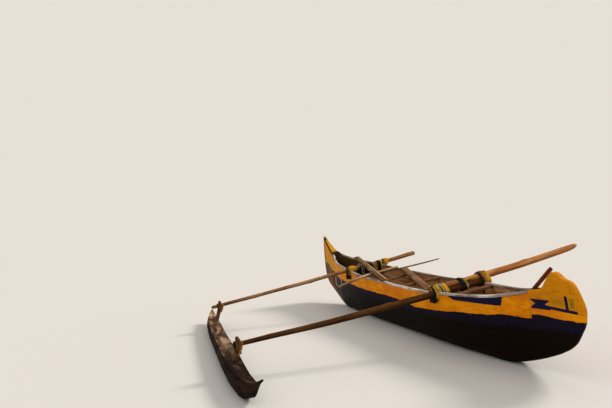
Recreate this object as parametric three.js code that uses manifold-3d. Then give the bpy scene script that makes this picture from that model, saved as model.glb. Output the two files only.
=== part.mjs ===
// A beached single-outrigger canoe: a dugout base raised with side planks, two booms and one float.
// Millimetres, +X to the bow, +Y to port (the float side), +Z up. The hull is drawn upright in its
// own frame, with its origin on the keel line amidships, and then leans towards its float.
import * as THREE from "three";
import { mergeVertices } from "three/addons/utils/BufferGeometryUtils.js";
import Module from "manifold-3d";

const wasm = await Module();
wasm.setup();

// Driving dimensions
const LEAN = 0.1; // radians that the hull leans towards the float
const SEAT = 0.3; // gap left between pieces that touch
const KEEL_HALF = 30; // half width of the flat under the keel
const KEEL_SHARE = 0.4; // the keel flat's share of the breadth where the ends are thinner than it
const WALL = 26; // thickness of the dugout's sides
const PLANK = 20; // thickness of the side planks
const FLOOR = 50; // thickness of the dugout's bottom
const SECTION_POWER = 2.5; // how full the hull's cross section is
const RAIL = { height: 24, proud: 9, inside: 5 }; // inside: where a rail stops short of the centre line
const CAVITY = { aft: -2440, fore: 2550, above: 60, power: 3, floorShare: 0.7, least: 12 };
const STERN_JOINT = -2345; // where the stern block starts
const BOW_JOINT = 2570; // where the bow block starts
const RAIL_JOINT = -1285; // where each rail's two lengths meet, under the aft boom
const PATCH = { joint: -1930, lean: -290 }; // foot of the patch's slanted joint, its shift aft in a metre
const BREAKS = [STERN_JOINT, CAVITY.aft, CAVITY.fore, BOW_JOINT, RAIL_JOINT];
const SIDE_GAP = 4; // how far a port or starboard piece stays off the centre line
const STATION_GAP = 150; // longest stretch of hull with no station of its own
const HEIGHTS = { count: 9, outer: 1.8, inner: 1.6 }; // rows of a section, and how they crowd low down
const BEYOND = { x: 3400, y: 700, z: 1400 }; // cutting blocks reach past the hull

// Hull lines. Columns: x, height of the keel, height of the gunwale, half breadth at the gunwale
const HULL_LINES = [
  [-2850, 530, 600, 14],
  [-2832, 462, 682, 17],
  [-2785, 392, 765, 22],
  [-2720, 305, 806, 28],
  [-2630, 235, 841, 34],
  [-2565, 198, 832, 37],
  [-2506, 170, 765, 41],
  [-2460, 150, 704, 46],
  [-2350, 108, 681, 60],
  [-2200, 58, 654, 103],
  [-2000, 6, 628, 168],
  [-1800, 0, 616, 210],
  [-1400, 0, 610, 276],
  [-1000, 0, 607, 300],
  [-500, 0, 614, 297],
  [0, 0, 635, 297],
  [500, 0, 652, 301],
  [800, 0, 670, 300],
  [1200, 0, 706, 276],
  [1600, 0, 741, 244],
  [2000, 0, 783, 192],
  [2200, 10, 818, 148],
  [2400, 52, 868, 92],
  [2600, 122, 945, 58],
  [2800, 199, 1062, 38],
  [2940, 251, 1160, 25],
  [3020, 284, 1212, 17],
  [3075, 311, 1075, 17],
  [3135, 352, 880, 17],
  [3185, 418, 660, 16],
  [3200, 470, 560, 14],
];

// Height of the seam between the dugout and the planks. Columns: x, height
const SEAM_LINE = [
  [-2900, 475],
  [-2300, 462],
  [-1800, 438],
  [-1300, 413],
  [-800, 402],
  [0, 440],
  [1100, 486],
  [2000, 478],
  [3250, 455],
];

// Poles, in the hull's frame. Columns: x, y, z, radius
const FORE_BOOM = [
  [1190, 2372, 560, 16],
  [1190, 2235, 567, 23],
  [1190, 1070, 648, 26],
  [1190, 300, 712, 28],
  [1190, -340, 741, 31],
  [1190, -835, 788, 33],
];
const AFT_BOOM = [
  [-1285, 2388, 530, 20],
  [-1285, 1340, 549, 30],
  [-1285, 350, 592, 33],
  [-1285, -352, 620, 32],
];
const BALANCE_POLE = [
  [-1240, 326, 630, 25],
  [-1238.5, 50, 645, 28],
  [-1236.5, -300, 665.5, 35],
  [-1234, -760, 697, 36],
  [-1231.5, -1218, 739, 35],
  [-1230, -1470, 766, 32],
  [-1230, -1560, 779, 25],
  [-1230, -1600, 788, 12],
];
const LIGHT_POLE = [
  [731, -300, 680.6, 15],
  [640, -60, 676.4, 17],
  [570, 110, 673.5, 18],
  [500, 305, 670.6, 18],
  [440, 540, 645, 17],
  [398, 752, 608, 13],
];
const THIN_POLE = [
  [485, 225, 676, 10],
  [534, 0, 672, 10],
  [600, -300, 667.8, 10],
  [672, -640, 669, 10],
  [752, -1000, 676, 8],
];

// Bars inside the hull. Columns: name, x, height of the bar's top
const CROSSBAR = { width: 60, height: 50, proud: 62 };
const CROSSBARS = [
  ["fore_crossbar", 1190, 637],
  ["aft_crossbar", -1262, 558],
];
// Columns: name, x at the port end, x at the starboard end, height of the top
const THWART = { width: 62, height: 30, reach: 500 };
const THWARTS = [
  ["fore_thwart", 110, 400, 613],
  ["middle_thwart", -460, -380, 608],
  ["aft_thwart", -1545, -1455, 604],
];

// Float, in the ground's frame. Columns: x, y of its middle, bottom, top, half width
const FLOAT_LINES = [
  [-2297, 2346, 232, 246, 4],
  [-2240, 2360, 200, 222, 13],
  [-2180, 2376, 152, 197, 27],
  [-2100, 2398, 76, 180, 45],
  [-1980, 2416, 24, 172, 65],
  [-1800, 2430, 4, 168, 80],
  [-1400, 2434, 0, 167, 90],
  [-700, 2430, 0, 167, 94],
  [0, 2428, 0, 167, 94],
  [700, 2418, 0, 167, 90],
  [1200, 2404, 4, 168, 82],
  [1550, 2384, 26, 175, 60],
  [1780, 2367, 70, 184, 36],
  [1900, 2357, 120, 193, 17],
  [1955, 2352, 152, 198, 5],
];
const FLOAT_ROUND = { base: 0.52, swell: 0.5, from: 0.08, turn: 0.72, rows: 5 }; // its section's swell

// Forked posts between float and booms. Columns: name, boom's x, y, z in the hull's frame, its radius,
// y of the post's foot in the ground's frame
const FLOAT_POSTS = [
  ["fore", 1190, 2258, 566, 23, 2362],
  ["aft", -1285, 2345, 531, 22, 2432],
];
const FORK = { trunk: 26, prong: 18, tip: 15, clear: 3, spread: 12, above: 58, out: 4, root: 40, socket: 70 };
const FORK_NECK = { low: 20, high: 4 }; // the trunk's last two points, below the boom

// Lashings at the gunwales and between the aft poles. Columns: name, x0, x1, y0, y1, z0, z1
const LASHINGS = [
  ["fore_port_lashing", 1147, 1233, 296, 332, 575, 754],
  ["fore_starboard_lashing", 1147, 1233, -332, -296, 575, 786],
  ["aft_port_lashing", -1330, -1200, 306, 340, 496, 668],
  ["aft_middle_lashing", -1330, -1195, -70, -20, 560, 694],
  ["aft_starboard_lashing", -1330, -1186, -340, -308, 496, 716],
];
const BOOM_WRAP = { y0: -8, y1: 160, thickness: 10, reach: 200 }; // rope wound along the fore boom
const FLOAT_LASHING = { x: 80, y: 28, below: 12, above: 14 };

// A cord's loop that hangs from the fore boom, in the ground's frame
const CORD_RADIUS = 4;
const CORD_SIDES = 8;
const CORD_STEPS = 24;
const CORD_LOOP = [
  [1190, 566, 618],
  [1190, 567, 600],
  [1190, 569, 565],
  [1190, 570, 528],
  [1189, 566, 494],
  [1188, 554, 467],
  [1188, 535, 451],
  [1188, 513, 448],
  [1188, 492, 459],
  [1189, 480, 481],
  [1190, 479, 509],
  [1190, 488, 540],
  [1190, 503, 571],
  [1190, 519, 598],
  [1190, 530, 624.5],
];

// Loose gear in the hull. Boards run between two points of their underside.
// Columns: name, start x, y, z, end x, y, z, width, thickness
const BOARDS = [
  ["fore_board", -30, 280, 634.3, 1750, -85, 823.8, 84, 18],
  ["aft_board", -1000, 206, 583.6, 565, -308.8, 657.4, 92, 20],
];
// The paddle leans on the stern block's crest and stands on the dugout's floor
const PADDLE = {
  x: -2570, y: -12, z: 857, slope: 0.668, length: 1285, radius: 17, blade: 400, joint: 60, bladeHalf: 58, bladeThick: 18,
};
const BLADE_CURVE = { from: 0.14, turn: 0.66, power: 0.6, steps: 8 };

// Colours, roughness
const FINISH = {
  hull: ["#17171f", 0.75],
  paint: ["#d9921a", 0.55],
  rail: ["#8c8278", 0.85],
  wood: ["#6d4a33", 0.85],
  pole: ["#8a5a38", 0.8],
  driftwood: ["#5a4a3e", 0.9],
  rope: ["#b8962f", 0.9],
};

// Smooth curve through a table's column, against its first column
function curveThrough(table, column) {
  const slope = (i) => {
    const before = table[Math.max(i - 1, 0)];
    const after = table[Math.min(i + 1, table.length - 1)];
    return (after[column] - before[column]) / (after[0] - before[0]);
  };
  return (x) => {
    const above = table.findIndex((row) => row[0] > x);
    const i = THREE.MathUtils.clamp(above < 0 ? table.length - 2 : above - 1, 0, table.length - 2);
    const [a, b] = [table[i], table[i + 1]];
    const span = b[0] - a[0];
    const t = THREE.MathUtils.clamp((x - a[0]) / span, 0, 1);
    const [t2, t3] = [t * t, t * t * t];
    return (2 * t3 - 3 * t2 + 1) * a[column] + (t3 - 2 * t2 + t) * span * slope(i)
      + (3 * t2 - 2 * t3) * b[column] + (t3 - t2) * span * slope(i + 1);
  };
}

const keelCurve = curveThrough(HULL_LINES, 1);
const keelAt = (x) => Math.max(keelCurve(x), 0);
const gunwaleAt = curveThrough(HULL_LINES, 2);
const breadthAt = curveThrough(HULL_LINES, 3);
const seamAt = curveThrough(SEAM_LINE, 1);
const railFloorAt = (x) => gunwaleAt(x) - RAIL.height;

// Half breadth of the hull's outside at x and height z
function halfBreadth(x, z) {
  const rise = THREE.MathUtils.clamp((z - keelAt(x)) / (gunwaleAt(x) - keelAt(x)), 0, 1);
  const full = (1 - (1 - rise) ** SECTION_POWER) ** (1 / SECTION_POWER);
  const keel = Math.min(KEEL_HALF, breadthAt(x) * KEEL_SHARE);
  return keel + (breadthAt(x) - keel) * full;
}

// Closed geometry to solid and back
function solidOf(geometry) {
  const bare = geometry.clone();
  bare.deleteAttribute("normal");
  bare.deleteAttribute("uv");
  const merged = mergeVertices(bare, 0.001);
  return new wasm.Manifold(new wasm.Mesh({
    numProp: 3,
    vertProperties: new Float32Array(merged.attributes.position.array),
    triVerts: new Uint32Array(merged.index.array),
  }));
}

function geometryOf(solid) {
  const mesh = solid.getMesh();
  const geometry = new THREE.BufferGeometry();
  geometry.setAttribute("position", new THREE.BufferAttribute(mesh.vertProperties, 3));
  geometry.setIndex(new THREE.BufferAttribute(mesh.triVerts, 1));
  return geometry;
}

// A box whose grid is moved to place(u, v, w), each from 0 to 1
function mappedBox(nx, ny, nz, place) {
  const geometry = new THREE.BoxGeometry(1, 1, 1, nx, ny, nz);
  const position = geometry.attributes.position;
  for (let i = 0; i < position.count; i += 1) {
    const [x, y, z] = place(position.getX(i) + 0.5, position.getY(i) + 0.5, position.getZ(i) + 0.5);
    position.setXYZ(i, x, y, z);
  }
  return solidOf(geometry);
}

function block(x0, x1, y0, y1, z0, z1) {
  return mappedBox(1, 1, 1, (u, v, w) => [x0 + (x1 - x0) * u, y0 + (y1 - y0) * v, z0 + (z1 - z0) * w]);
}

// A round pole along a route of x, y, z, radius; grow adds to its radius and to both ends
function pole(route, { grow = 0, sides = 10, steps = 12 } = {}) {
  const curve = new THREE.CatmullRomCurve3(route.map(([x, y, z]) => new THREE.Vector3(x, y, z)));
  const geometry = new THREE.CylinderGeometry(1, 1, 1, sides, steps);
  const along = curve.points.at(-1).clone().sub(curve.points[0]).normalize();
  const upright = Math.abs(along.z) > 0.9;
  const side = upright ? new THREE.Vector3(1, 0, 0) : new THREE.Vector3(0, 0, 1).cross(along).normalize();
  const up = along.clone().cross(side).normalize();
  const position = geometry.attributes.position;
  for (let i = 0; i < position.count; i += 1) {
    const t = position.getY(i) + 0.5;
    const place = t * (route.length - 1);
    const row = Math.min(Math.floor(place), route.length - 2);
    const radius = THREE.MathUtils.lerp(route[row][3], route[row + 1][3], place - row) + grow;
    const point = curve.getPoint(t);
    point.addScaledVector(side, position.getZ(i) * radius);
    point.addScaledVector(up, position.getX(i) * radius);
    if (t === 0) point.addScaledVector(along, -grow);
    if (t === 1) point.addScaledVector(along, grow);
    position.setXYZ(i, point.x, point.y, point.z);
  }
  return solidOf(geometry);
}

function without(solid, others) {
  return others.reduce((rest, other) => rest.subtract(other), solid);
}

// The hull's stations crowd together where the ends curve round
const STATIONS = HULL_LINES.flatMap(([x], i) => {
  const next = i + 1 < HULL_LINES.length ? HULL_LINES[i + 1][0] : x;
  return next - x > STATION_GAP ? [x, (x + next) / 2] : [x];
}).concat(BREAKS).sort((a, b) => a - b);

function stationsBetween(x0, x1) {
  const margin = 10;
  return [x0, ...STATIONS.filter((x) => x > x0 + margin && x < x1 - margin), x1];
}

// A solid lofted over stations; place(x, v, w) gives the y and z of each point
function loft(stations, across, rows, place) {
  const last = stations.length - 1;
  return mappedBox(last, across, rows, (u, v, w) => {
    const x = stations[Math.round(u * last)];
    return [x, ...place(x, v, w)];
  });
}

function outerHull() {
  return loft(STATIONS, 2, HEIGHTS.count, (x, v, w) => {
    const z = keelAt(x) + (gunwaleAt(x) - keelAt(x)) * w ** HEIGHTS.outer;
    return [(2 * v - 1) * halfBreadth(x, z), z];
  });
}

// The hollow inside walls of this thickness; its last row stands above the gunwale
function cavity(thickness) {
  const lastRow = (HEIGHTS.count - 1) / HEIGHTS.count;
  return loft(stationsBetween(CAVITY.aft, CAVITY.fore), 2, HEIGHTS.count, (x, v, w) => {
    const bottom = keelAt(x) + FLOOR;
    const depth = gunwaleAt(x) - bottom;
    const rise = Math.min(w / lastRow, 1) ** HEIGHTS.inner;
    const z = bottom + depth * rise + (w === 1 ? CAVITY.above : 0);
    const round = (1 - (1 - rise) ** CAVITY.power) ** (1 / CAVITY.power);
    const limit = halfBreadth(x, bottom + depth * rise) - thickness;
    const half = limit * THREE.MathUtils.lerp(CAVITY.floorShare, 1, round);
    return [(2 * v - 1) * Math.max(half, CAVITY.least), z];
  });
}

// A slab between two heights that follow the hull's lines
function slab(x0, x1, low, high) {
  return loft(stationsBetween(x0, x1), 1, 1, (x, v, w) => [
    (2 * v - 1) * BEYOND.y, w === 0 ? low(x) : high(x),
  ]);
}

// Crossbars stand out past the hull on both sides
function crossbar(x, top, grow) {
  const reach = halfBreadth(x, top - CROSSBAR.height / 2) + CROSSBAR.proud + grow;
  const half = CROSSBAR.width / 2 + grow;
  return block(x - half, x + half, -reach, reach, top - CROSSBAR.height - grow, top + grow);
}

const boomCuts = [FORE_BOOM, AFT_BOOM, BALANCE_POLE].map((route) => pole(route, { grow: SEAT }));
const cutters = [...boomCuts, ...CROSSBARS.map(([, x, top]) => crossbar(x, top, SEAT))];

// Dugout, planks and end blocks
const hull = outerHull();
const hollow = cavity(PLANK);
const belowSeam = slab(-BEYOND.x, BEYOND.x, () => -BEYOND.z, seamAt);
const aboveSeam = slab(-BEYOND.x, BEYOND.x, (x) => seamAt(x) + SEAT, () => BEYOND.z);
const plankRoom = slab(STERN_JOINT + SEAT, BOW_JOINT - SEAT, () => 0, (x) => railFloorAt(x) - SEAT);
const base = hull.intersect(belowSeam).subtract(cavity(WALL));
const upper = hull.intersect(aboveSeam);
const planks = upper.subtract(hollow).intersect(plankRoom);
const sternBlock = upper
  .subtract(hollow)
  .intersect(block(-BEYOND.x, STERN_JOINT, -BEYOND.y, BEYOND.y, 0, BEYOND.z));
const bowBlock = upper.intersect(block(BOW_JOINT, BEYOND.x, -BEYOND.y, BEYOND.y, 0, BEYOND.z));

function sideOf(solid, side) {
  const [y0, y1] = side > 0 ? [SIDE_GAP, BEYOND.y] : [-BEYOND.y, -SIDE_GAP];
  return solid.intersect(block(-BEYOND.x, BEYOND.x, y0, y1, 0, BEYOND.z));
}

// The joint between plank and patch leans a little, so the cut is a slanted block
function patchZone(grow) {
  return mappedBox(1, 1, 1, (u, v, w) => [
    u === 0 ? -BEYOND.x : PATCH.joint + grow + PATCH.lean * w, (2 * v - 1) * BEYOND.y, 1000 * w,
  ]);
}
const patchCut = patchZone(0);
const plankCut = patchZone(SEAT);

// Each rail is in two lengths that meet under the aft boom. Columns: name, x0, x1
const RAIL_LENGTHS = [
  ["aft", STERN_JOINT + SEAT, RAIL_JOINT],
  ["main", RAIL_JOINT + SEAT, BOW_JOINT - SEAT],
];

function rail(side, x0, x1) {
  return loft(stationsBetween(x0, x1), 1, 1, (x, v, w) => {
    const inner = Math.max(breadthAt(x) - PLANK - RAIL.proud, RAIL.inside);
    const outer = breadthAt(x) + RAIL.proud;
    const y = side > 0 ? inner + (outer - inner) * v : (outer - inner) * v - outer;
    return [y, railFloorAt(x) + RAIL.height * w];
  });
}

// Thwarts end on the planks' inner faces, in notches of the rails' inner edges
function thwart(portX, starboardX, top, grow) {
  const half = THWART.width / 2 + grow;
  const middle = (portX + starboardX) / 2;
  const skew = (portX - starboardX) / (2 * breadthAt(middle));
  const bar = mappedBox(1, 1, 1, (u, v, w) => {
    const y = (2 * v - 1) * THWART.reach;
    return [middle + skew * y + (2 * u - 1) * half, y, top + grow - (1 - w) * (THWART.height + 2 * grow)];
  });
  return bar.intersect(grow > 0 ? hollow : cavity(PLANK + SEAT));
}
const railCuts = [...cutters, ...THWARTS.map(([, port, starboard, top]) => thwart(port, starboard, top, SEAT))];

// Rope wound along the fore boom, as a sleeve
function boomWrap() {
  const { y0, y1, thickness, reach } = BOOM_WRAP;
  const x = FORE_BOOM[0][0];
  const wrap = pole(FORE_BOOM, { grow: thickness }).intersect(block(x - reach, x + reach, y0, y1, 0, BEYOND.z));
  return without(wrap, cutters);
}

// A board between two points of its underside
function board([x0, y0, z0, x1, y1, z1, width, thickness]) {
  const along = new THREE.Vector3(x1 - x0, y1 - y0, z1 - z0);
  const side = new THREE.Vector3(-along.y, along.x, 0).normalize();
  const up = along.clone().normalize().cross(side);
  return mappedBox(4, 1, 1, (u, v, w) => {
    const point = new THREE.Vector3(x0, y0, z0).addScaledVector(along, u);
    point.addScaledVector(side, (v - 0.5) * width);
    point.addScaledVector(up, w * thickness);
    return point.toArray();
  });
}

function paddle() {
  const { x, y, z, slope, length, radius, blade, joint, bladeHalf, bladeThick } = PADDLE;
  const [run, fall] = [Math.cos(slope), Math.sin(slope)];
  const shaftEnd = length - blade + joint;
  const shaft = pole([
    [x, y, z, radius],
    [x + shaftEnd * run, y, z - shaftEnd * fall, radius],
  ], { steps: 1 });
  const face = mappedBox(BLADE_CURVE.steps, 1, 1, (u, v, w) => {
    const at = length - blade * (1 - u);
    const half = bladeHalf * Math.sin(Math.PI * (BLADE_CURVE.from + BLADE_CURVE.turn * u)) ** BLADE_CURVE.power;
    const off = (w - 0.5) * bladeThick;
    return [x + at * run + off * fall, y + (2 * v - 1) * half, z - at * fall + off * run];
  });
  return shaft.add(face);
}

// The hull's frame seen from the ground
const hullFrame = new THREE.Matrix4().makeRotationX(-LEAN);
hullFrame.setPosition(0, 0, KEEL_HALF * Math.sin(LEAN));
function onGround(solid) {
  return solidOf(geometryOf(solid).applyMatrix4(hullFrame));
}

// The float is a log pointed at both ends, flat on top and rounded below
function floatLog() {
  const [middleAt, bottomAt, topAt, halfAt] = [1, 2, 3, 4].map((column) => curveThrough(FLOAT_LINES, column));
  const stations = FLOAT_LINES.map(([x]) => x);
  const { base: least, swell, from, turn, rows } = FLOAT_ROUND;
  return loft(stations, 2, rows, (x, v, w) => {
    const round = least + swell * Math.sin(Math.PI * (from + turn * w));
    return [middleAt(x) + (2 * v - 1) * halfAt(x) * round, THREE.MathUtils.lerp(bottomAt(x), topAt(x), w)];
  });
}

// A forked post: a trunk in the float and two prongs that hold the boom between them
function fork({ at, boomRadius, footY }, grow) {
  const foot = curveThrough(FLOAT_LINES, 3)(at.x) - FORK.socket;
  const crotch = at.z - boomRadius;
  const trunk = pole([
    [at.x, footY, foot, FORK.trunk],
    [at.x, at.y + FORK.out, crotch - FORK_NECK.low, FORK.trunk],
    [at.x, at.y, crotch - FORK_NECK.high, FORK.trunk],
  ], { grow, steps: 4 });
  const reach = boomRadius + FORK.prong + FORK.clear;
  const prongs = [-1, 1].map((side) => pole([
    [at.x + side * FORK.out, at.y + FORK.out, crotch - FORK.root, FORK.prong],
    [at.x + side * reach, at.y, at.z, FORK.prong],
    [at.x + side * (reach + FORK.spread), at.y - FORK.out, at.z + FORK.above, FORK.tip],
  ], { grow, steps: 6 }));
  return prongs.reduce((whole, prong) => whole.add(prong), trunk);
}
const posts = FLOAT_POSTS.map(([name, x, y, z, boomRadius, footY]) => ({
  name, boomRadius, footY, at: new THREE.Vector3(x, y, z).applyMatrix4(hullFrame),
}));

// A cord along its route
function cordAlong(route) {
  const curve = new THREE.CatmullRomCurve3(route.map((point) => new THREE.Vector3(...point)));
  const section = new THREE.Shape();
  for (let i = 0; i < CORD_SIDES; i += 1) {
    const angle = (2 * Math.PI * i) / CORD_SIDES;
    const [across, up] = [CORD_RADIUS * Math.cos(angle), CORD_RADIUS * Math.sin(angle)];
    if (i === 0) section.moveTo(across, up);
    else section.lineTo(across, up);
  }
  return solidOf(new THREE.ExtrudeGeometry(section, { steps: CORD_STEPS, extrudePath: curve }));
}

const group = new THREE.Group();
const hullGroup = new THREE.Group();
hullGroup.rotation.x = -LEAN;
hullGroup.position.z = KEEL_HALF * Math.sin(LEAN);
const groundGroup = new THREE.Group();
group.add(hullGroup, groundGroup);

function add(parent, name, solid, finish) {
  const [color, roughness] = FINISH[finish];
  const material = new THREE.MeshStandardMaterial({ color, roughness, metalness: 0 });
  const mesh = new THREE.Mesh(geometryOf(solid), material);
  mesh.name = name;
  parent.add(mesh);
}

// Hull
add(hullGroup, "hull_base", base, "hull");
add(hullGroup, "stern_block", sternBlock, "paint");
add(hullGroup, "bow_block", bowBlock, "paint");
for (const [name, side] of [["port", 1], ["starboard", -1]]) {
  const plank = without(sideOf(planks, side), cutters);
  add(hullGroup, `${name}_washstrake`, plank.subtract(plankCut), "paint");
  add(hullGroup, `${name}_stern_patch`, plank.intersect(patchCut), "paint");
  for (const [length, x0, x1] of RAIL_LENGTHS) {
    add(hullGroup, `${name}_${length}_rail`, without(rail(side, x0, x1), railCuts), "rail");
  }
}
for (const [name, x, top] of CROSSBARS) {
  add(hullGroup, name, without(crossbar(x, top, 0), boomCuts), "wood");
}
for (const [name, port, starboard, top] of THWARTS) {
  add(hullGroup, name, thwart(port, starboard, top, 0), "wood");
}

// Outrigger
add(hullGroup, "fore_boom", pole(FORE_BOOM), "pole");
add(hullGroup, "aft_boom", pole(AFT_BOOM), "pole");
add(hullGroup, "aft_balance_pole", pole(BALANCE_POLE), "pole");
for (const [name, ...box] of LASHINGS) {
  add(hullGroup, name, without(block(...box), cutters), "rope");
}
add(hullGroup, "fore_boom_wrap", boomWrap(), "rope");
add(groundGroup, "boom_cord_loop", cordAlong(CORD_LOOP), "rope");

// Loose gear
for (const [name, ...row] of BOARDS) add(hullGroup, name, board(row), "wood");
add(hullGroup, "light_pole", pole(LIGHT_POLE), "pole");
add(hullGroup, "thin_pole", pole(THIN_POLE, { sides: 8 }), "wood");
add(hullGroup, "steering_paddle", paddle(), "wood");

// Float
const forkCuts = posts.map((post) => fork(post, SEAT));
const boomsOnGround = boomCuts.map(onGround);
add(groundGroup, "float_log", without(floatLog(), forkCuts), "driftwood");
for (const post of posts) {
  add(groundGroup, `${post.name}_float_post`, without(fork(post, 0), boomsOnGround), "driftwood");
  const { x, y, below, above } = FLOAT_LASHING;
  const low = post.at.z - post.boomRadius - below;
  const high = post.at.z + post.boomRadius + above;
  const tie = block(post.at.x - x, post.at.x + x, post.at.y - y, post.at.y + y, low, high);
  add(groundGroup, `${post.name}_float_lashing`, without(tie, [...boomsOnGround, ...forkCuts]), "rope");
}

const outside = new THREE.Box3().setFromObject(group);
group.position.x = -(outside.min.x + outside.max.x) / 2;
group.position.y = -(outside.min.y + outside.max.y) / 2;

export default group;
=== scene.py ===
"""A beached outrigger canoe: a dugout raised with planks, two booms, one float and its loose gear.

Lengths are metres. The hull, the booms and the gear are drawn in the hull's own upright frame,
with its origin on the keel amidships; the float, its posts and the hanging loop are drawn in the
ground's frame. Both frames look to the bow along +X and to the float along +Y.
"""

import logging
import math
import random
from collections.abc import Callable, Sequence
from dataclasses import dataclass
from enum import Enum
from functools import cache

import bmesh
import bpy
from mathutils import Matrix, Vector, noise


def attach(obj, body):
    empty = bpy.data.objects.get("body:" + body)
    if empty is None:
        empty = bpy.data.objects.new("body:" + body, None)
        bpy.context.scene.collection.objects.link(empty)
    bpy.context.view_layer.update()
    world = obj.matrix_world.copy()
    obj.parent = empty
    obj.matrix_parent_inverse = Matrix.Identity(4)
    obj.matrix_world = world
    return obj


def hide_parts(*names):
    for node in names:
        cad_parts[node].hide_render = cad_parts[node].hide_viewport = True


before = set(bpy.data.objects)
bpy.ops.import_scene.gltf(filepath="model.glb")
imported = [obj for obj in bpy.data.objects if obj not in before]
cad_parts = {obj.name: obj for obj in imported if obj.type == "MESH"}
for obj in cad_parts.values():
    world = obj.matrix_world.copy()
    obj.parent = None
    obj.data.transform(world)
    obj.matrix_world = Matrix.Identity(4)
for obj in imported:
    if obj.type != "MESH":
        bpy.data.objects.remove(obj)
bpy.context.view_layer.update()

BODY = "root"
LEAN = 0.1
KEEL_HALF = 0.03
ROW_SHIFT = Vector((-0.175, -0.496711, 0.0))
GROUND = Matrix.Translation(ROW_SHIFT)
HULL = (
    Matrix.Translation(ROW_SHIFT + Vector((0, 0, KEEL_HALF * math.sin(LEAN))))
    @ Matrix.Rotation(-LEAN, 4, "X")
)
STERN_JOINT = -2.345
BOW_JOINT = 2.57
PATCH_JOINT = -1.93
PATCH_LEAN = -0.29
SEAT = 0.0003
WELD = 1e-5
UP = Vector((0, 0, 1))
PLANK = 0.02
TURN_STEPS = 72
STRAND_STEPS = 40
KNOT_STEPS = 60
ROUTE_STEPS = 16
ROPE_CRISP = 1.2
log = logging.getLogger("canoe")

Colour = tuple[float, float, float]
Row = tuple[float, ...]
Table = tuple[Row, ...]
Offsets = list[tuple[float, float]]
Disc = tuple[float, float, float]
Socket = bpy.types.NodeSocket
Value = float | Socket


def clamp(value: float, low: float = 0.0, high: float = 1.0) -> float:
    """Returns value kept between low and high."""
    return max(low, min(high, value))


def blend(low: float, high: float, share: float) -> float:
    """Returns the number that lies this share of the way from low to high."""
    return low + (high - low) * share


def ease(value: float, start: float, end: float) -> float:
    """Returns 0 before start, 1 after end, and a smooth rise between them."""
    share = clamp((value - start) / (end - start))
    return share * share * (3 - 2 * share)


def rough(point: Vector, scale: float, seed: float) -> float:
    """Returns smooth noise from -1 to 1 at a point."""
    return noise.noise(point * scale + Vector((seed, seed * 1.7, seed * 0.3)))


def curve_at(table: Sequence[Row], column: int, x: float) -> float:
    """Reads a smooth curve through one column of a table.

    Args:
        table: Rows in order of their first column.
        column: The column to read.
        x: Where to read it, in the first column's terms.

    Returns:
        The column's value at x.
    """
    last = len(table) - 1
    i = min(max(sum(row[0] <= x for row in table) - 1, 0), last - 1)

    def slope(k: int) -> float:
        """Returns the curve's slope at row k."""
        before, after = table[max(k - 1, 0)], table[min(k + 1, last)]
        return (after[column] - before[column]) / (after[0] - before[0])

    a, b = table[i], table[i + 1]
    span = b[0] - a[0]
    t = clamp((x - a[0]) / span)
    t2, t3 = t * t, t * t * t
    return (
        (2 * t3 - 3 * t2 + 1) * a[column]
        + (t3 - 2 * t2 + t) * span * slope(i)
        + (3 * t2 - 2 * t3) * b[column]
        + (t3 - t2) * span * slope(i + 1)
    )


# Nodes and finishes


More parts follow.
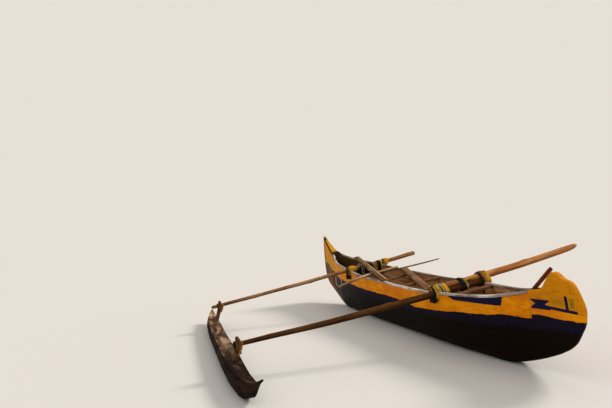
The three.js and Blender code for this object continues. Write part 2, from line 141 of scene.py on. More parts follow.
class Nodes:
    """Short ways to add shader nodes to one new material."""

    def __init__(self, name: str) -> None:
        """Starts a material with this name."""
        self.material = bpy.data.materials.new(name)
        self.material.use_nodes = True
        self.tree = self.material.node_tree
        self.shader = self.tree.nodes["Principled BSDF"]

    def add(self, kind: str, inputs: dict[str | int, object], **settings: object) -> bpy.types.Node:
        """Adds a node.

        Args:
            kind: The node's type, without its ShaderNode prefix.
            inputs: Sockets by name or number, each with a value or a socket to link.
            settings: The node's own properties.

        Returns:
            The new node.
        """
        node = self.tree.nodes.new("ShaderNode" + kind)
        for name, value in settings.items():
            setattr(node, name, value)
        for key, value in inputs.items():
            self.feed(node.inputs[key], value)
        return node

    def feed(self, socket: Socket, value: object) -> None:
        """Links a socket to another, or sets its value.

        Args:
            socket: The socket to feed.
            value: A socket to link, or a number or colour.
        """
        if isinstance(value, bpy.types.NodeSocket):
            self.tree.links.new(value, socket)
        elif socket.type == "RGBA" and len(value) == 3:
            socket.default_value = (*value, 1.0)
        else:
            socket.default_value = value

    def maths(self, operation: str, a: Value, b: Value = 0.0, c: Value = 0.0) -> Socket:
        """Returns the result of a Math node."""
        return self.add("Math", {0: a, 1: b, 2: c}, operation=operation).outputs[0]

    def minus(self, a: Value, b: Value) -> Socket:
        """Returns a less b."""
        return self.maths("SUBTRACT", a, b)

    def scaled(self, a: Value, b: Value, c: Value) -> Socket:
        """Returns a times b, plus c."""
        return self.maths("MULTIPLY_ADD", a, b, c)

    def times(self, *values: Value) -> Socket:
        """Returns the product of these values.

        Args:
            values: The numbers or sockets to multiply.

        Returns:
            The product's socket.
        """
        result = values[0]
        for value in values[1:]:
            result = self.maths("MULTIPLY", result, value)
        return result

    def mix(self, share: Value, a: object, b: object, way: str = "MIX") -> Socket:
        """Returns the colour that lies this share of the way from a to b."""
        return self.add("Mix", {0: share, 6: a, 7: b}, data_type="RGBA", blend_type=way).outputs[2]

    def coat(self, base: object, top: object, *masks: Value) -> Socket:
        """Returns the base colour with another over it, as thick as the product of the masks."""
        return self.mix(self.times(*masks), base, top)

    def noise(
        self, place: Socket, scale: float, detail: float = 4.0, warp: float = 0.0, along: float = 1.0
    ) -> Socket:
        """Returns noise from 0 to 1 at a place, drawn out along the piece where along is small.

        Args:
            place: Where the pattern is read.
            scale: How fine it is.
            detail: How many finer layers it has.
            warp: How far it is twisted.
            along: How much it is drawn out along the piece, 1 being not at all.

        Returns:
            The noise's socket.
        """
        if along < 1.0:
            place = self.add("Mapping", {"Vector": place, "Scale": (along, 1.0, 1.0)}).outputs[0]
        inputs = {"Vector": place, "Scale": scale, "Detail": detail, "Roughness": 0.6, "Distortion": warp}
        return self.add("TexNoise", inputs).outputs["Fac"]

    def step(self, value: Value, start: float, end: float) -> Socket:
        """Returns a smooth rise from 0 at start to 1 at end."""
        inputs = {"Value": value, "From Min": start, "From Max": end}
        return self.add("MapRange", inputs, interpolation_type="SMOOTHSTEP").outputs[0]

    def grain(self) -> Socket:
        """Returns the place in the piece's own grain: along it, across it and up it."""
        return self.add("Attribute", {}, attribute_name="grain").outputs["Vector"]

    def hull_place(self) -> Socket:
        """Returns the place in the hull's upright frame."""
        to_hull = HULL.inverted()
        inputs = {
            "Vector": self.add("TexCoord", {}).outputs["Object"],
            "Location": to_hull.to_translation(),
            "Rotation": to_hull.to_euler(),
        }
        return self.add("Mapping", inputs).outputs[0]

    def finish(
        self, colour: Socket, roughness: Value, height: Socket, depth: float, gloss: float
    ) -> bpy.types.Material:
        """Wires the shader and returns the material.

        Args:
            colour: The base colour.
            roughness: The roughness.
            height: The relief, from 0 to 1.
            depth: How deep the relief is.
            gloss: How strongly the surface mirrors, 0.5 being common varnish.

        Returns:
            The finished material.
        """
        bump = self.add("Bump", {"Height": height, "Strength": 1.0, "Distance": depth})
        names = ("Base Color", "Roughness", "Specular IOR Level", "Normal")
        for name, value in zip(names, (colour, roughness, gloss, bump.outputs[0]), strict=True):
            self.feed(self.shader.inputs[name], value)
        return self.material


@dataclass(frozen=True)
class WoodFinish:
    """Bare weathered wood whose fibres run along the piece."""

    name: str
    light: Colour
    dark: Colour
    bleached: Colour
    bleach: float = 0.35
    fine: float = 60.0
    cracks: float = 0.6
    roughness: float = 0.75
    depth: float = 0.0015
    # Start, end and share of a stretch along the piece that darkens; on some pieces this is painted shade.
    darkening_and_shade: Row | None = None
    # Painted highlight along one edge: where it starts and is full across the piece, and its share.
    lit_edge: Row | None = None
    # Share of painted shade on the underside.
    underside_shade: float = 0.0
    gloss: float = 0.04
    patch_scale: float = 9.0
    stain_scale: float = 14.0
    crack_width: float = 0.018
    # Heights across the piece over which the painted underside shade comes in.
    underside: Row = (0.004, -0.012)

    def dim(self, share: float) -> Colour:
        """Returns this share of the dark colour."""
        return tuple(part * share for part in self.dark)

    def material(self) -> bpy.types.Material:
        """Returns the finish as a material."""
        kit = Nodes(self.name)
        grain = kit.grain()
        split = kit.add("SeparateXYZ", {"Vector": grain})
        streaks = kit.noise(grain, self.fine, 6.0, 0.4, along=0.05)
        fibres = kit.noise(grain, self.fine * 5, 3.0, along=0.03)
        patches = kit.noise(grain, self.patch_scale, 5.0, 0.5, along=0.25)
        checks = kit.noise(grain, self.fine * 1.3, 2.0, 0.2, along=0.035)
        stains = kit.noise(grain, self.stain_scale, 6.0, 0.5)
        crack = kit.step(kit.maths("ABSOLUTE", kit.minus(checks, 0.5)), 0.0, self.crack_width)
        colour = kit.coat(self.dark, self.light, kit.step(streaks, 0.3, 0.7))
        colour = kit.coat(colour, self.bleached, kit.step(patches, 0.42, 0.66), self.bleach)
        shade = kit.scaled(kit.step(fibres, 0.2, 0.8), 0.3, 0.82)
        shading = kit.add("CombineColor", {0: shade, 1: shade, 2: shade}).outputs[0]
        colour = kit.mix(1.0, colour, shading, "MULTIPLY")
        colour = kit.coat(colour, self.dim(0.35), kit.step(stains, 0.52, 0.8), 0.6)
        # Painted highlight: a pale strip along one edge.
        if self.lit_edge:
            start, end, share = self.lit_edge
            across = kit.scaled(kit.minus(patches, 0.5), 0.02, split.outputs["Y"])
            pale = kit.coat(self.light, self.bleached, kit.step(streaks, 0.3, 0.7))
            colour = kit.coat(colour, pale, kit.step(across, start, end), share)
        # A stretch along the piece darkens; on some pieces this is painted shade.
        if self.darkening_and_shade:
            start, end, share = self.darkening_and_shade
            colour = kit.coat(colour, self.dim(0.2), kit.step(split.outputs["X"], start, end), share)
        # Painted shade on the underside.
        if self.underside_shade:
            colour = kit.coat(colour, self.dim(0.5), kit.step(split.outputs["Z"], *self.underside), self.underside_shade)
        colour = kit.coat(colour, self.dim(0.25), kit.minus(1.0, crack), self.cracks)
        relief = kit.times(kit.scaled(streaks, 0.6, fibres), crack)
        roughness = kit.scaled(stains, 0.2, self.roughness - 0.1)
        return kit.finish(colour, roughness, relief, self.depth, self.gloss)


@dataclass(frozen=True)
class RopeFinish:
    """Laid rope: three strands with painted shade in the creases between them, and frayed fibres."""

    name: str
    strand: Colour
    # Colour of the painted shade in the creases.
    crease: Colour
    faded: Colour
    fibre_scale: float = 900.0
    fading_scale: float = 22.0
    roughness: float = 0.85
    depth: float = 0.0012
    gloss: float = 0.06

    def material(self) -> bpy.types.Material:
        """Returns the finish as a material."""
        kit = Nodes(self.name)
        grain = kit.grain()
        lobe = kit.add("SeparateXYZ", {"Vector": grain}).outputs["Y"]
        place = kit.add("TexCoord", {}).outputs["Object"]
        fibres = kit.noise(place, self.fibre_scale, 2.0)
        fading = kit.noise(place, self.fading_scale, 4.0, 0.5)
        colour = kit.coat(self.strand, self.faded, kit.step(fading, 0.4, 0.7), 0.7)
        # Painted shade in the creases between the strands.
        colour = kit.coat(colour, self.crease, kit.step(lobe, 0.55, 0.05))
        colour = kit.coat(colour, self.crease, kit.step(fibres, 0.6, 0.3), 0.35)
        relief = kit.maths("ADD", kit.times(lobe, 0.7), kit.times(fibres, 0.5))
        return kit.finish(colour, self.roughness, relief, self.depth, self.gloss)


@dataclass(frozen=True)
class HullPaint:
    """Hand-painted bands on the outside of the hull, worn down to the wood in places, with painted shade
    along the stem's forward edge.
    """

    name: str = "hull_paint"
    orange: Colour = (0.74, 0.20, 0.001)
    amber: Colour = (0.88, 0.33, 0.002)
    gold: Colour = (0.60, 0.225, 0.003)
    straw: Colour = (0.62, 0.285, 0.012)
    navy: Colour = (0.010, 0.009, 0.036)
    pitch: Colour = (0.0060, 0.0030, 0.0016)
    mauve: Colour = (0.15, 0.07, 0.04)
    brown: Colour = (0.24, 0.09, 0.014)
    olive: Colour = (0.26, 0.15, 0.006)
    timber: Colour = (0.30, 0.24, 0.18)
    bare: Colour = (0.17, 0.062, 0.012)
    span: tuple[float, float] = (-2.9, 3.3)
    tall: float = 1.3
    orange_low: Table = (
        (-2.9, 0.442), (-2.8, 0.444), (-2.62, 0.438), (-2.545, 0.44), (-2.46, 0.454), (-2.34, 0.448),
        (-2.16, 0.458), (-2.04, 0.458), (-1.95, 0.443), (-1.57, 0.435), (-1.31, 0.414), (-1.07, 0.406),
        (-0.79, 0.397), (-0.6, 0.42), (-0.27, 0.447), (0.3, 0.462), (0.635, 0.471), (1.09, 0.487),
        (1.5, 0.505), (2.0, 0.53), (2.5, 0.57), (2.78, 0.60), (2.9, 0.70), (3.2, 0.72),
    )
    step_up: float = 0.032
    forefoot: Row = (-2.9, 2.0, 2.2, 2.4, 2.6, 2.8, 2.94, 3.02, 3.2)
    navy_low: Table = (
        (-2.9, 0.40), (-2.3, 0.37), (-1.0, 0.345), (0.5, 0.38), (1.2, 0.42), (1.6, 0.5), (3.2, 0.6),
    )
    wedge_low: Table = (
        (-2.3, 0.53), (-2.06, 0.536), (-1.75, 0.544), (-1.53, 0.55), (-1.41, 0.6), (-1.3, 0.7),
    )
    prow_line: Row = (2.56, 2.62, 2.68, 2.74, 2.8, 2.86, 2.92, 2.98, 3.02)
    olive_boxes: tuple[tuple[Row, float], ...] = (
        ((-2.69, -2.56, 0.578, 0.635), 0.4), ((-2.777, -2.735, 0.57, 0.645), 0.8),
    )
    glass_middle: tuple[float, float] = (-2.452, 0.578)
    glass_waist: float = 0.048
    glass_widest: float = 0.094
    glass_box: Row = (-2.6, -2.3, 0.534, 0.613)
    bar_box: Row = (-2.722, -2.694, 0.55, 0.66)
    stripe_box: Row = (-2.793, -2.42, 0.541, 0.566)
    crisp: Row = (-0.002, 0.002)
    stem_slope: float = 0.276
    crest_slope: float = -0.062
    crest_from: Row = (0.535, 0.55)
    straw_from: Row = (2.0, 2.6)
    navy_fade: Row = (-0.035, 0.03)
    stem_from: Row = (2.5, 3.3)
    # Where the painted shade along the stem's forward edge begins and is full.
    shaded_stem_edge: Row = (3.322, 3.33)
    foot_from: Row = (2.0, 2.3)
    foot_height: Row = (0.125, 0.09)
    mauve_from: Row = (2.78, 2.86)
    mauve_above: Row = (0.47, 0.52)
    wedge_from: Row = (-1.3, -1.42)
    line_from: Row = (2.56, 2.6)
    line_low: Row = (0.062, 0.054)
    line_high: Row = (0.001, 0.004)
    depth: float = 0.0012
    gloss: float = 0.025

    def edge(self, kit: Nodes, x: Socket, table: Sequence[Row]) -> Socket:
        """Returns the height of a band's edge at x, read from its table.

        Args:
            kit: The material's nodes.
            x: The place along the hull.
            table: The band's x and height.

        Returns:
            The height's socket.
        """
        start, end = self.span
        along = kit.maths("DIVIDE", kit.minus(x, start), end - start)
        node = kit.add("FloatCurve", {"Value": along})
        curve = node.mapping.curves[0]
        for at, height in table[1:-1]:
            curve.points.new((at - start) / (end - start), height / self.tall)
        for i in (0, -1):
            point, (at, height) = curve.points[i], table[i]
            point.location = ((at - start) / (end - start), height / self.tall)
        for point in curve.points:
            point.handle_type = "VECTOR"
        node.mapping.update()
        return kit.times(node.outputs[0], self.tall)

    def panel(self, kit: Nodes, x: Socket, z: Socket, box: Row, soft: float = 0.0025) -> Socket:
        """Returns 1 inside a box of x0, x1, z0, z1 and 0 outside it.

        Args:
            kit: The material's nodes.
            x: The place along the hull.
            z: The height.
            box: The box's edges.
            soft: How soft they are.

        Returns:
            The mask's socket.
        """
        inside = None
        for value, low, high in ((x, box[0], box[1]), (z, box[2], box[3])):
            for edge, out in ((low, -soft), (high, soft)):
                side = kit.step(value, edge + out, edge - out)
                inside = side if inside is None else kit.times(inside, side)
        return inside

    def stern_pattern(self, kit: Nodes, colour: Socket, x: Socket, z: Socket, level: Socket) -> Socket:
        """Returns the colour with the stern block's plain geometric panels over it.

        Args:
            kit: The material's nodes.
            colour: The paint under the panels.
            x: The place along the hull.
            z: The height.
            level: The height, measured square to the stripe.

        Returns:
            The colour's socket.
        """
        for box, share in self.olive_boxes:
            colour = kit.coat(colour, self.olive, self.panel(kit, x, z, box, 0.008), share)
        across = kit.maths("ABSOLUTE", kit.maths("ADD", x, -self.glass_middle[0]))
        above = kit.maths("ABSOLUTE", kit.minus(z, self.glass_middle[1]))
        reach = kit.maths("MINIMUM", kit.scaled(above, 1.7, self.glass_waist), self.glass_widest)
        shape = kit.step(kit.minus(reach, across), -0.003, 0.003)
        glass = kit.times(shape, self.panel(kit, x, z, self.glass_box))
        bar = self.panel(kit, x, z, self.bar_box)
        stripe = self.panel(kit, x, level, self.stripe_box)
        for share in (glass, bar, stripe):
            colour = kit.coat(colour, self.navy, share)
        return colour

    def material(self) -> bpy.types.Material:
        """Returns the paint as a material."""
        kit = Nodes(self.name)
        place = kit.hull_place()
        split = kit.add("SeparateXYZ", {"Vector": place})
        x, z = split.outputs["X"], split.outputs["Z"]
        wander = kit.times(kit.minus(kit.noise(place, 9.0, 6.0), 0.5), 0.035)
        height = kit.maths("ADD", z, wander)
        brushed = kit.noise(place, 45.0, 5.0, 0.3, along=0.12)
        blotch = kit.noise(place, 7.0, 6.0, 0.6, along=0.5)
        fibres = kit.noise(place, 160.0, along=0.04)
        rising = kit.scaled(z, self.stem_slope, x)

        yellow = kit.coat(self.orange, self.amber, kit.step(blotch, 0.35, 0.66))
        level = kit.scaled(kit.maths("ADD", x, 2.58), self.crest_slope, z)
        at_stern = kit.step(x, STERN_JOINT + 0.003, STERN_JOINT - 0.003)
        yellow = kit.coat(yellow, self.gold, at_stern, kit.step(level, *self.crest_from), 0.85)
        yellow = kit.coat(yellow, self.straw, kit.step(x, *self.straw_from), 0.85)
        yellow = kit.coat(yellow, self.brown, kit.step(brushed, 0.6, 0.35), 0.22)
        above_navy = kit.minus(height, self.edge(kit, x, self.navy_low))
        under = kit.coat(self.pitch, self.navy, kit.step(above_navy, *self.navy_fade), 0.5)
        stem = kit.step(rising, *self.stem_from)
        under = kit.coat(under, self.brown, stem, kit.step(blotch, 0.2, 0.45), 0.9)
        keel = self.edge(kit, x, tuple((at, LINES.keel(at)) for at in self.forefoot))
        foot = kit.step(kit.minus(height, keel), *self.foot_height)
        under = kit.coat(under, self.bare, foot, kit.step(x, *self.foot_from), 0.85)
        band = kit.step(x, *self.mauve_from)
        under = kit.coat(under, self.mauve, band, kit.step(height, *self.mauve_above))
        past_joint = kit.step(x, STERN_JOINT + 0.001, STERN_JOINT - 0.001)
        low = kit.scaled(past_joint, self.step_up, self.edge(kit, x, self.orange_low))
        over = kit.minus(height, low)
        colour = kit.coat(under, yellow, kit.step(over, *self.crisp))

        joint = kit.scaled(z, -PATCH_LEAN, kit.maths("ADD", x, -PATCH_JOINT))
        wedge = kit.minus(kit.scaled(wander, 0.3, z), self.edge(kit, x, self.wedge_low))
        sides = (kit.step(wedge, *self.crisp), kit.step(joint, -0.001, 0.001), kit.step(x, *self.wedge_from))
        colour = kit.coat(colour, self.navy, *sides)
        colour = self.stern_pattern(kit, colour, x, z, level)
        prow_top = tuple((at, LINES.gunwale(at)) for at in self.prow_line)
        top = self.edge(kit, x, ((-2.9, 1.29), (2.55, 1.29), *prow_top, (3.2, 1.29)))
        rim = kit.scaled(wander, 0.2, kit.minus(top, z))
        sides = (kit.step(rim, *self.line_low), kit.step(rim, *self.line_high), kit.step(x, *self.line_from))
        line = kit.times(*sides)
        # Painted shade: a dark band along the stem's forward edge.
        shaded_stem_edge = kit.times(kit.step(rising, *self.shaded_stem_edge), kit.step(z, 0.5, 0.56), 0.8)
        for share in (line, shaded_stem_edge):
            colour = kit.coat(colour, self.pitch, share)

        chips = kit.step(kit.noise(place, 30.0, 8.0, 0.4, along=0.4), 0.70, 0.72)
        colour = kit.coat(colour, self.timber, chips, 0.8)
        grime = kit.step(kit.noise(place, 16.0, 6.0, 0.8), 0.5, 0.75)
        for mask, thin, thick in ((grime, 0.5, 0.7), (kit.step(fibres, 0.56, 0.68), 0.25, 0.75)):
            colour = kit.coat(colour, kit.coat(colour, self.pitch, thick), mask, thin)
        strokes = kit.maths("ADD", kit.times(fibres, 0.5), kit.times(brushed, 0.4))
        relief = kit.scaled(chips, -0.6, strokes)
        return kit.finish(colour, kit.scaled(blotch, 0.25, 0.42), relief, self.depth, self.gloss)


class Look(Enum):
    """The finishes of the canoe's pieces."""

    PAINT = HullPaint()
    # The hold darkens towards the bow: painted shade in its deep fore part.
    INSIDE = WoodFinish(
        "hold_wood", (0.54, 0.29, 0.12), (0.20, 0.09, 0.030), (0.66, 0.45, 0.26), 0.55, 40.0,
        cracks=0.35, darkening_and_shade=(1.2, 2.1, 0.85),
    )
    RAIL = WoodFinish(
        "near_rail_wood", (0.46, 0.40, 0.36), (0.13, 0.08, 0.06), (0.78, 0.75, 0.72), 0.85, 70.0,
        darkening_and_shade=(2.4, 2.47, 0.94),
    )
    FAR_RAIL = WoodFinish(
        "far_rail_wood", (0.27, 0.18, 0.13), (0.08, 0.045, 0.03), (0.50, 0.41, 0.35), 0.7, 70.0,
        darkening_and_shade=(2.3, 2.5, 0.9),
    )
    BAR = WoodFinish("board_wood", (0.21, 0.10, 0.038), (0.075, 0.028, 0.010), (0.36, 0.21, 0.115), 0.5)
    # Darker colours as painted shade on the board's face, and a painted highlight along one edge.
    SHADED_LIT_BOARD = WoodFinish(
        "board_wood_painted_shade_and_highlight", (0.16, 0.075, 0.027), (0.055, 0.02, 0.007), (0.60, 0.42, 0.27), 0.2,
        lit_edge=(-0.024, -0.028, 0.95),
    )
    TIP = WoodFinish(
        "bar_end_paint", (0.014, 0.012, 0.030), (0.006, 0.005, 0.012), (0.04, 0.035, 0.045), 0.5,
    )
    # The darker underside is painted shade.
    POLE = WoodFinish(
        "aft_boom_wood", (0.085, 0.032, 0.008), (0.028, 0.009, 0.002), (0.16, 0.07, 0.022), 0.45, underside_shade=0.6,
    )
    # Darkens towards its float end; the darker underside is painted shade.
    FORE_POLE = WoodFinish(
        "fore_boom_wood", (0.42, 0.19, 0.065), (0.14, 0.05, 0.015), (0.62, 0.38, 0.19), 0.55,
        darkening_and_shade=(1.7, -0.4, 0.5), underside_shade=0.5,
    )
    # The darker underside is painted shade.
    BALANCE = WoodFinish(
        "balance_pole_wood", (0.58, 0.19, 0.035), (0.20, 0.055, 0.012), (0.72, 0.36, 0.14), 0.5, 50.0,
        roughness=0.6, underside_shade=0.65,
    )
    # Painted shade towards its port end and on its underside.
    PALE = WoodFinish(
        "light_pole_wood", (0.62, 0.40, 0.23), (0.24, 0.12, 0.05), (0.85, 0.66, 0.48), 0.55,
        darkening_and_shade=(0.58, 0.9, 0.45), underside_shade=0.5,
    )
    DARK = WoodFinish("thin_pole_wood", (0.11, 0.06, 0.03), (0.035, 0.02, 0.012), (0.22, 0.15, 0.10), 0.4)
    RED = WoodFinish("paddle_wood", (0.20, 0.05, 0.018), (0.07, 0.016, 0.007), (0.30, 0.12, 0.06), 0.35)
    # The deck darkens towards its aft end: painted shadow of the hull.
    DRIFT = WoodFinish(
        "float_deck_wood", (0.11, 0.055, 0.027), (0.030, 0.013, 0.006), (0.62, 0.40, 0.27), 0.9, 38.0,
        0.9, 0.85, 0.003, darkening_and_shade=(0.2, -1.5, 0.85),
    )
    # Far darker than the deck: painted shade on the float's sides.
    SHADED_FLANK = WoodFinish(
        "float_side_painted_shade", (0.014, 0.0075, 0.004), (0.005, 0.0025, 0.0015), (0.05, 0.028, 0.016), 0.6, 38.0,
        0.9, 0.9, 0.003,
    )
    POST = WoodFinish("post_wood", (0.15, 0.062, 0.020), (0.03, 0.012, 0.005), (0.26, 0.135, 0.058), 0.5)
    YELLOW = RopeFinish("yellow_rope", (0.95, 0.50, 0.010), (0.22, 0.09, 0.006), (0.95, 0.68, 0.10))
    BLACK = RopeFinish("black_rope", (0.018, 0.017, 0.022), (0.003, 0.003, 0.004), (0.045, 0.042, 0.045))
    STRAW = RopeFinish("straw_rope", (0.66, 0.48, 0.32), (0.18, 0.10, 0.05), (0.84, 0.72, 0.60))
    CORD = RopeFinish("pale_cord", (0.90, 0.70, 0.56), (0.34, 0.21, 0.14), (0.95, 0.84, 0.74))
    OLIVE = RopeFinish("olive_rope", (0.40, 0.29, 0.03), (0.05, 0.03, 0.005), (0.55, 0.43, 0.10))
    RUST = RopeFinish("rust_rope", (0.46, 0.17, 0.025), (0.08, 0.025, 0.006), (0.60, 0.32, 0.09))

    @cache
    def material(self) -> bpy.types.Material:
        """Returns the finish's one material, made when it is first asked for."""
        return self.value.material()


# Shapes


@dataclass
class Loop:
    """One closed loop of points round a piece, each with its place in the piece's grain."""

    points: list[Vector]
    grain: list[Vector]


def skin(
    loops: Sequence[Loop],
    band: Callable[[int, int], int] = lambda row, column: 0,
    caps: tuple[int, int] = (0, 0),
    soften: float = 0.0,
) -> bmesh.types.BMesh:
    """Joins closed loops of points into one closed body.

    Args:
        loops: The loops in order along the body, all of one length.
        band: The material index of the face after each row and column of points.
        caps: The material indices of the first and the last end.
        soften: How far the ends' edges are rounded.

    Returns:
        The body.
    """
    rows, columns = len(loops) - 1, len(loops[0].points)
    bm = bmesh.new()
    bmesh.ops.create_grid(bm, x_segments=rows, y_segments=columns, size=0.5)
    for face in bm.faces:
        middle = face.calc_center_median()
        face.material_index = band(int((middle.x + 0.5) * rows), int((middle.y + 0.5) * columns))
    layer = bm.verts.layers.float_vector.new("grain")
    for vert in bm.verts:
        loop = loops[round((vert.co.x + 0.5) * rows)]
        column = round((vert.co.y + 0.5) * columns) % columns
        vert[layer] = loop.grain[column]
        vert.co = loop.points[column]
    bmesh.ops.remove_doubles(bm, verts=bm.verts, dist=WELD)
    bmesh.ops.dissolve_degenerate(bm, dist=WELD, edges=bm.edges)
    ends = bmesh.ops.holes_fill(bm, edges=[edge for edge in bm.edges if edge.is_boundary], sides=0)["faces"]
    first, last = (sum(loop.points, Vector()) / columns for loop in (loops[0], loops[-1]))
    for face in ends:
        middle = face.calc_center_median()
        face.material_index = caps[(middle - first).length > (middle - last).length]
    if soften:
        rim = list({edge for face in ends for edge in face.edges})
        bmesh.ops.bevel(
            bm, geom=rim, offset=soften, offset_type="OFFSET", segments=2, profile=0.5, affect="EDGES",
            material=-1,
        )
    bmesh.ops.recalc_face_normals(bm, faces=bm.faces)
    return bm


def mesh_of(name: str, body: bmesh.types.BMesh) -> bpy.types.Mesh:
    """Returns a mesh made of a body, which is freed.

    Args:
        name: The mesh's name.
        body: The body.

    Returns:
        The mesh.
    """
    mesh = bpy.data.meshes.new(name)
    body.to_mesh(mesh)
    body.free()
    return mesh


def stand(name: str, data: bpy.types.ID) -> bpy.types.Object:
    """Returns a new object that stands in the scene."""
    obj = bpy.data.objects.new(name, data)
    bpy.context.scene.collection.objects.link(obj)
    return obj


def merged(bodies: Sequence[bmesh.types.BMesh]) -> bmesh.types.BMesh:
    """Returns one body that holds all of these, which are freed.

    Args:
        bodies: The bodies.

    Returns:
        The one body.
    """
    whole = bmesh.new()
    for body in bodies:
        mesh = mesh_of("part", body)
        whole.from_mesh(mesh)
        bpy.data.meshes.remove(mesh)
    return whole


def piece(
    name: str,
    body: bmesh.types.BMesh,
    looks: Sequence[Look],
    slot: str,
    node: str,
    place: Matrix = HULL,
    crisp: float = 0.6,
) -> bpy.types.Object:
    """Turns a body into a finished piece of the canoe.

    Args:
        name: The piece's name.
        body: Its mesh, which is freed.
        looks: Its finishes, in order of material index.
        slot: The name of a material slot; not used.
        node: The CAD node that it stands for.
        place: The frame it was drawn in.
        crisp: The angle past which an edge stays sharp.

    Returns:
        The new object.
    """
    bmesh.ops.transform(body, matrix=place, verts=body.verts)
    mesh = mesh_of(name, body)
    for look in looks:
        mesh.materials.append(look.material())
    mesh.shade_smooth()
    mesh.set_sharp_from_angle(angle=crisp)
    obj = stand(name, mesh)
    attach(obj, BODY)
    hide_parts(node)
    log.info("%s: %d faces", name, len(mesh.polygons))
    return obj


def evenly(points: Sequence[Vector], step: float) -> list[Vector]:
    """Returns points spaced evenly along a line through the given ones.

    Args:
        points: The points of the line.
        step: About how far apart the new ones lie.

    Returns:
        The new points, both ends among them.
    """
    reach = [0.0]
    for before, after in zip(points, points[1:], strict=False):
        reach.append(reach[-1] + (after - before).length)
    count = max(2, round(reach[-1] / step))
    even, i = [], 0
    for k in range(count + 1):
        at = reach[-1] * k / count
        while i < len(points) - 2 and reach[i + 1] < at:
            i += 1
        share = clamp((at - reach[i]) / max(reach[i + 1] - reach[i], 1e-9))
        even.append(points[i].lerp(points[i + 1], share))
    return even


def smooth_route(rows: Sequence[Row], step: float) -> list[Vector]:
    """Returns a smooth route through rows of numbers, as four-part vectors spaced by step.

    Args:
        rows: Points of x, y, z, and a radius that is carried along.
        step: The distance between the points that come back.

    Returns:
        The route's points.
    """
    keyed = [(float(i), *row) for i, row in enumerate(rows)]
    places = [k / ROUTE_STEPS for k in range(ROUTE_STEPS * (len(rows) - 1) + 1)]
    fine = [Vector(tuple(curve_at(keyed, column, at) for column in range(1, 5))) for at in places]
    return evenly(fine, step)


Outline = Callable[[float, int], Offsets]


def ring(sides: int, reach: Callable[[float], float]) -> Offsets:
    """Returns the offsets of a closed ring that reaches this far out at each angle.

    Args:
        sides: How many points it has.
        reach: How far out it lies at an angle.

    Returns:
        The across and up offsets.
    """
    offsets = []
    for k in range(sides):
        turn = math.tau * k / sides
        out = reach(turn)
        offsets.append((out * math.cos(turn), out * math.sin(turn)))
    return offsets


def beam(route: Sequence[Vector], outline: Outline, up: Vector | None = None) -> list[Loop]:
    """Sweeps an outline along a route.

    Args:
        route: Points along the route.
        outline: Gives the across and up offsets at a distance along the route and a point's number.
        up: The direction that the outline's second number follows, or None to let it turn freely.

    Returns:
        The loops of the swept body.
    """
    loops, along = [], 0.0
    middle = [Vector(point[:3]) for point in route]
    rise = up
    for i, point in enumerate(middle):
        before, after = middle[max(i - 1, 0)], middle[min(i + 1, len(middle) - 1)]
        ahead = (after - before).normalized()
        if rise is None:
            rise = UP if abs(ahead.z) < 0.9 else Vector((1, 0, 0))
        side = rise.cross(ahead).normalized()
        top = ahead.cross(side).normalized()
        if up is None:
            rise = top
        if i:
            along += (point - middle[i - 1]).length
        offsets = outline(along, i)
        points = [point + side * a + top * b for a, b in offsets]
        loops.append(Loop(points, [Vector((along, a, b)) for a, b in offsets]))
    return loops


def slab_outline(half_width: float, half_height: float, corner: float) -> Offsets:
    """Returns a rectangle with rounded corners, with a few points on each side.

    Args:
        half_width: Half its width.
        half_height: Half its height.
        corner: Its corners' radius.

    Returns:
        The across and up offsets.
    """
    outline = []
    for sa, sb in ((1, -1), (1, 1), (-1, 1), (-1, -1)):
        for k in range(3):
            turn = math.pi / 4 * k + (math.atan2(sb, sa) - math.pi / 4)
            a = sa * (half_width - corner) + corner * math.cos(turn)
            b = sb * (half_height - corner) + corner * math.sin(turn)
            outline.append((a, b))
        if sa * sb > 0:
            outline += [(sa * half_width * k, sb * half_height) for k in (0.5, 0.0, -0.5)]
    return outline


@dataclass(frozen=True)
class Trunk:
    """A natural pole: not quite round, a little bent, with knots where its twigs were cut."""

    rows: Table
    seed: float
    sides: int = 20
    step: float = 0.03
    uneven: float = 0.07
    bend: float = 0.004
    knots: int = 6
    knot_height: float = 0.006
    knot_length: float = 0.035
    knot_spread: float = 0.25
    held: int = 4
    end_share: float = 0.93

    def body(self) -> bmesh.types.BMesh:
        """Returns the pole as a closed body."""
        route = smooth_route(self.rows, self.step)
        draw = random.Random(self.seed)
        last = len(route) - 1
        length = last * self.step
        knots = [(draw.uniform(0.08, 0.92) * length, draw.uniform(0, math.tau)) for _ in range(self.knots)]
        wobble = []
        for i, point in enumerate(route):
            place = Vector(point[:3])
            free = ease(i, 0, self.held) * ease(last - i, 0, self.held)
            shift = Vector([rough(place, 1.6, self.seed + k) for k in range(3)]) * self.bend * free
            wobble.append(Vector((*(place + shift), point[3])))

        def outline(along: float, i: int) -> Offsets:
            """Returns the pole's outline at point i of its route."""
            radius = wobble[i][3] * (self.end_share if i in (0, last) else 1.0)

            def reach(turn: float) -> float:
                """Returns how far the bark stands out at this angle."""
                place = Vector((along * 1.4, math.cos(turn), math.sin(turn)))
                out = radius * (1 + self.uneven * rough(place, 1.1, self.seed))
                for at, facing in knots:
                    down, round_it = (along - at) / self.knot_length, 1 - math.cos(turn - facing)
                    out += self.knot_height * math.exp(-(down**2 + (round_it / self.knot_spread) ** 2))
                return out

            return ring(self.sides, reach)

        return skin(beam(wobble, outline), soften=0.003)


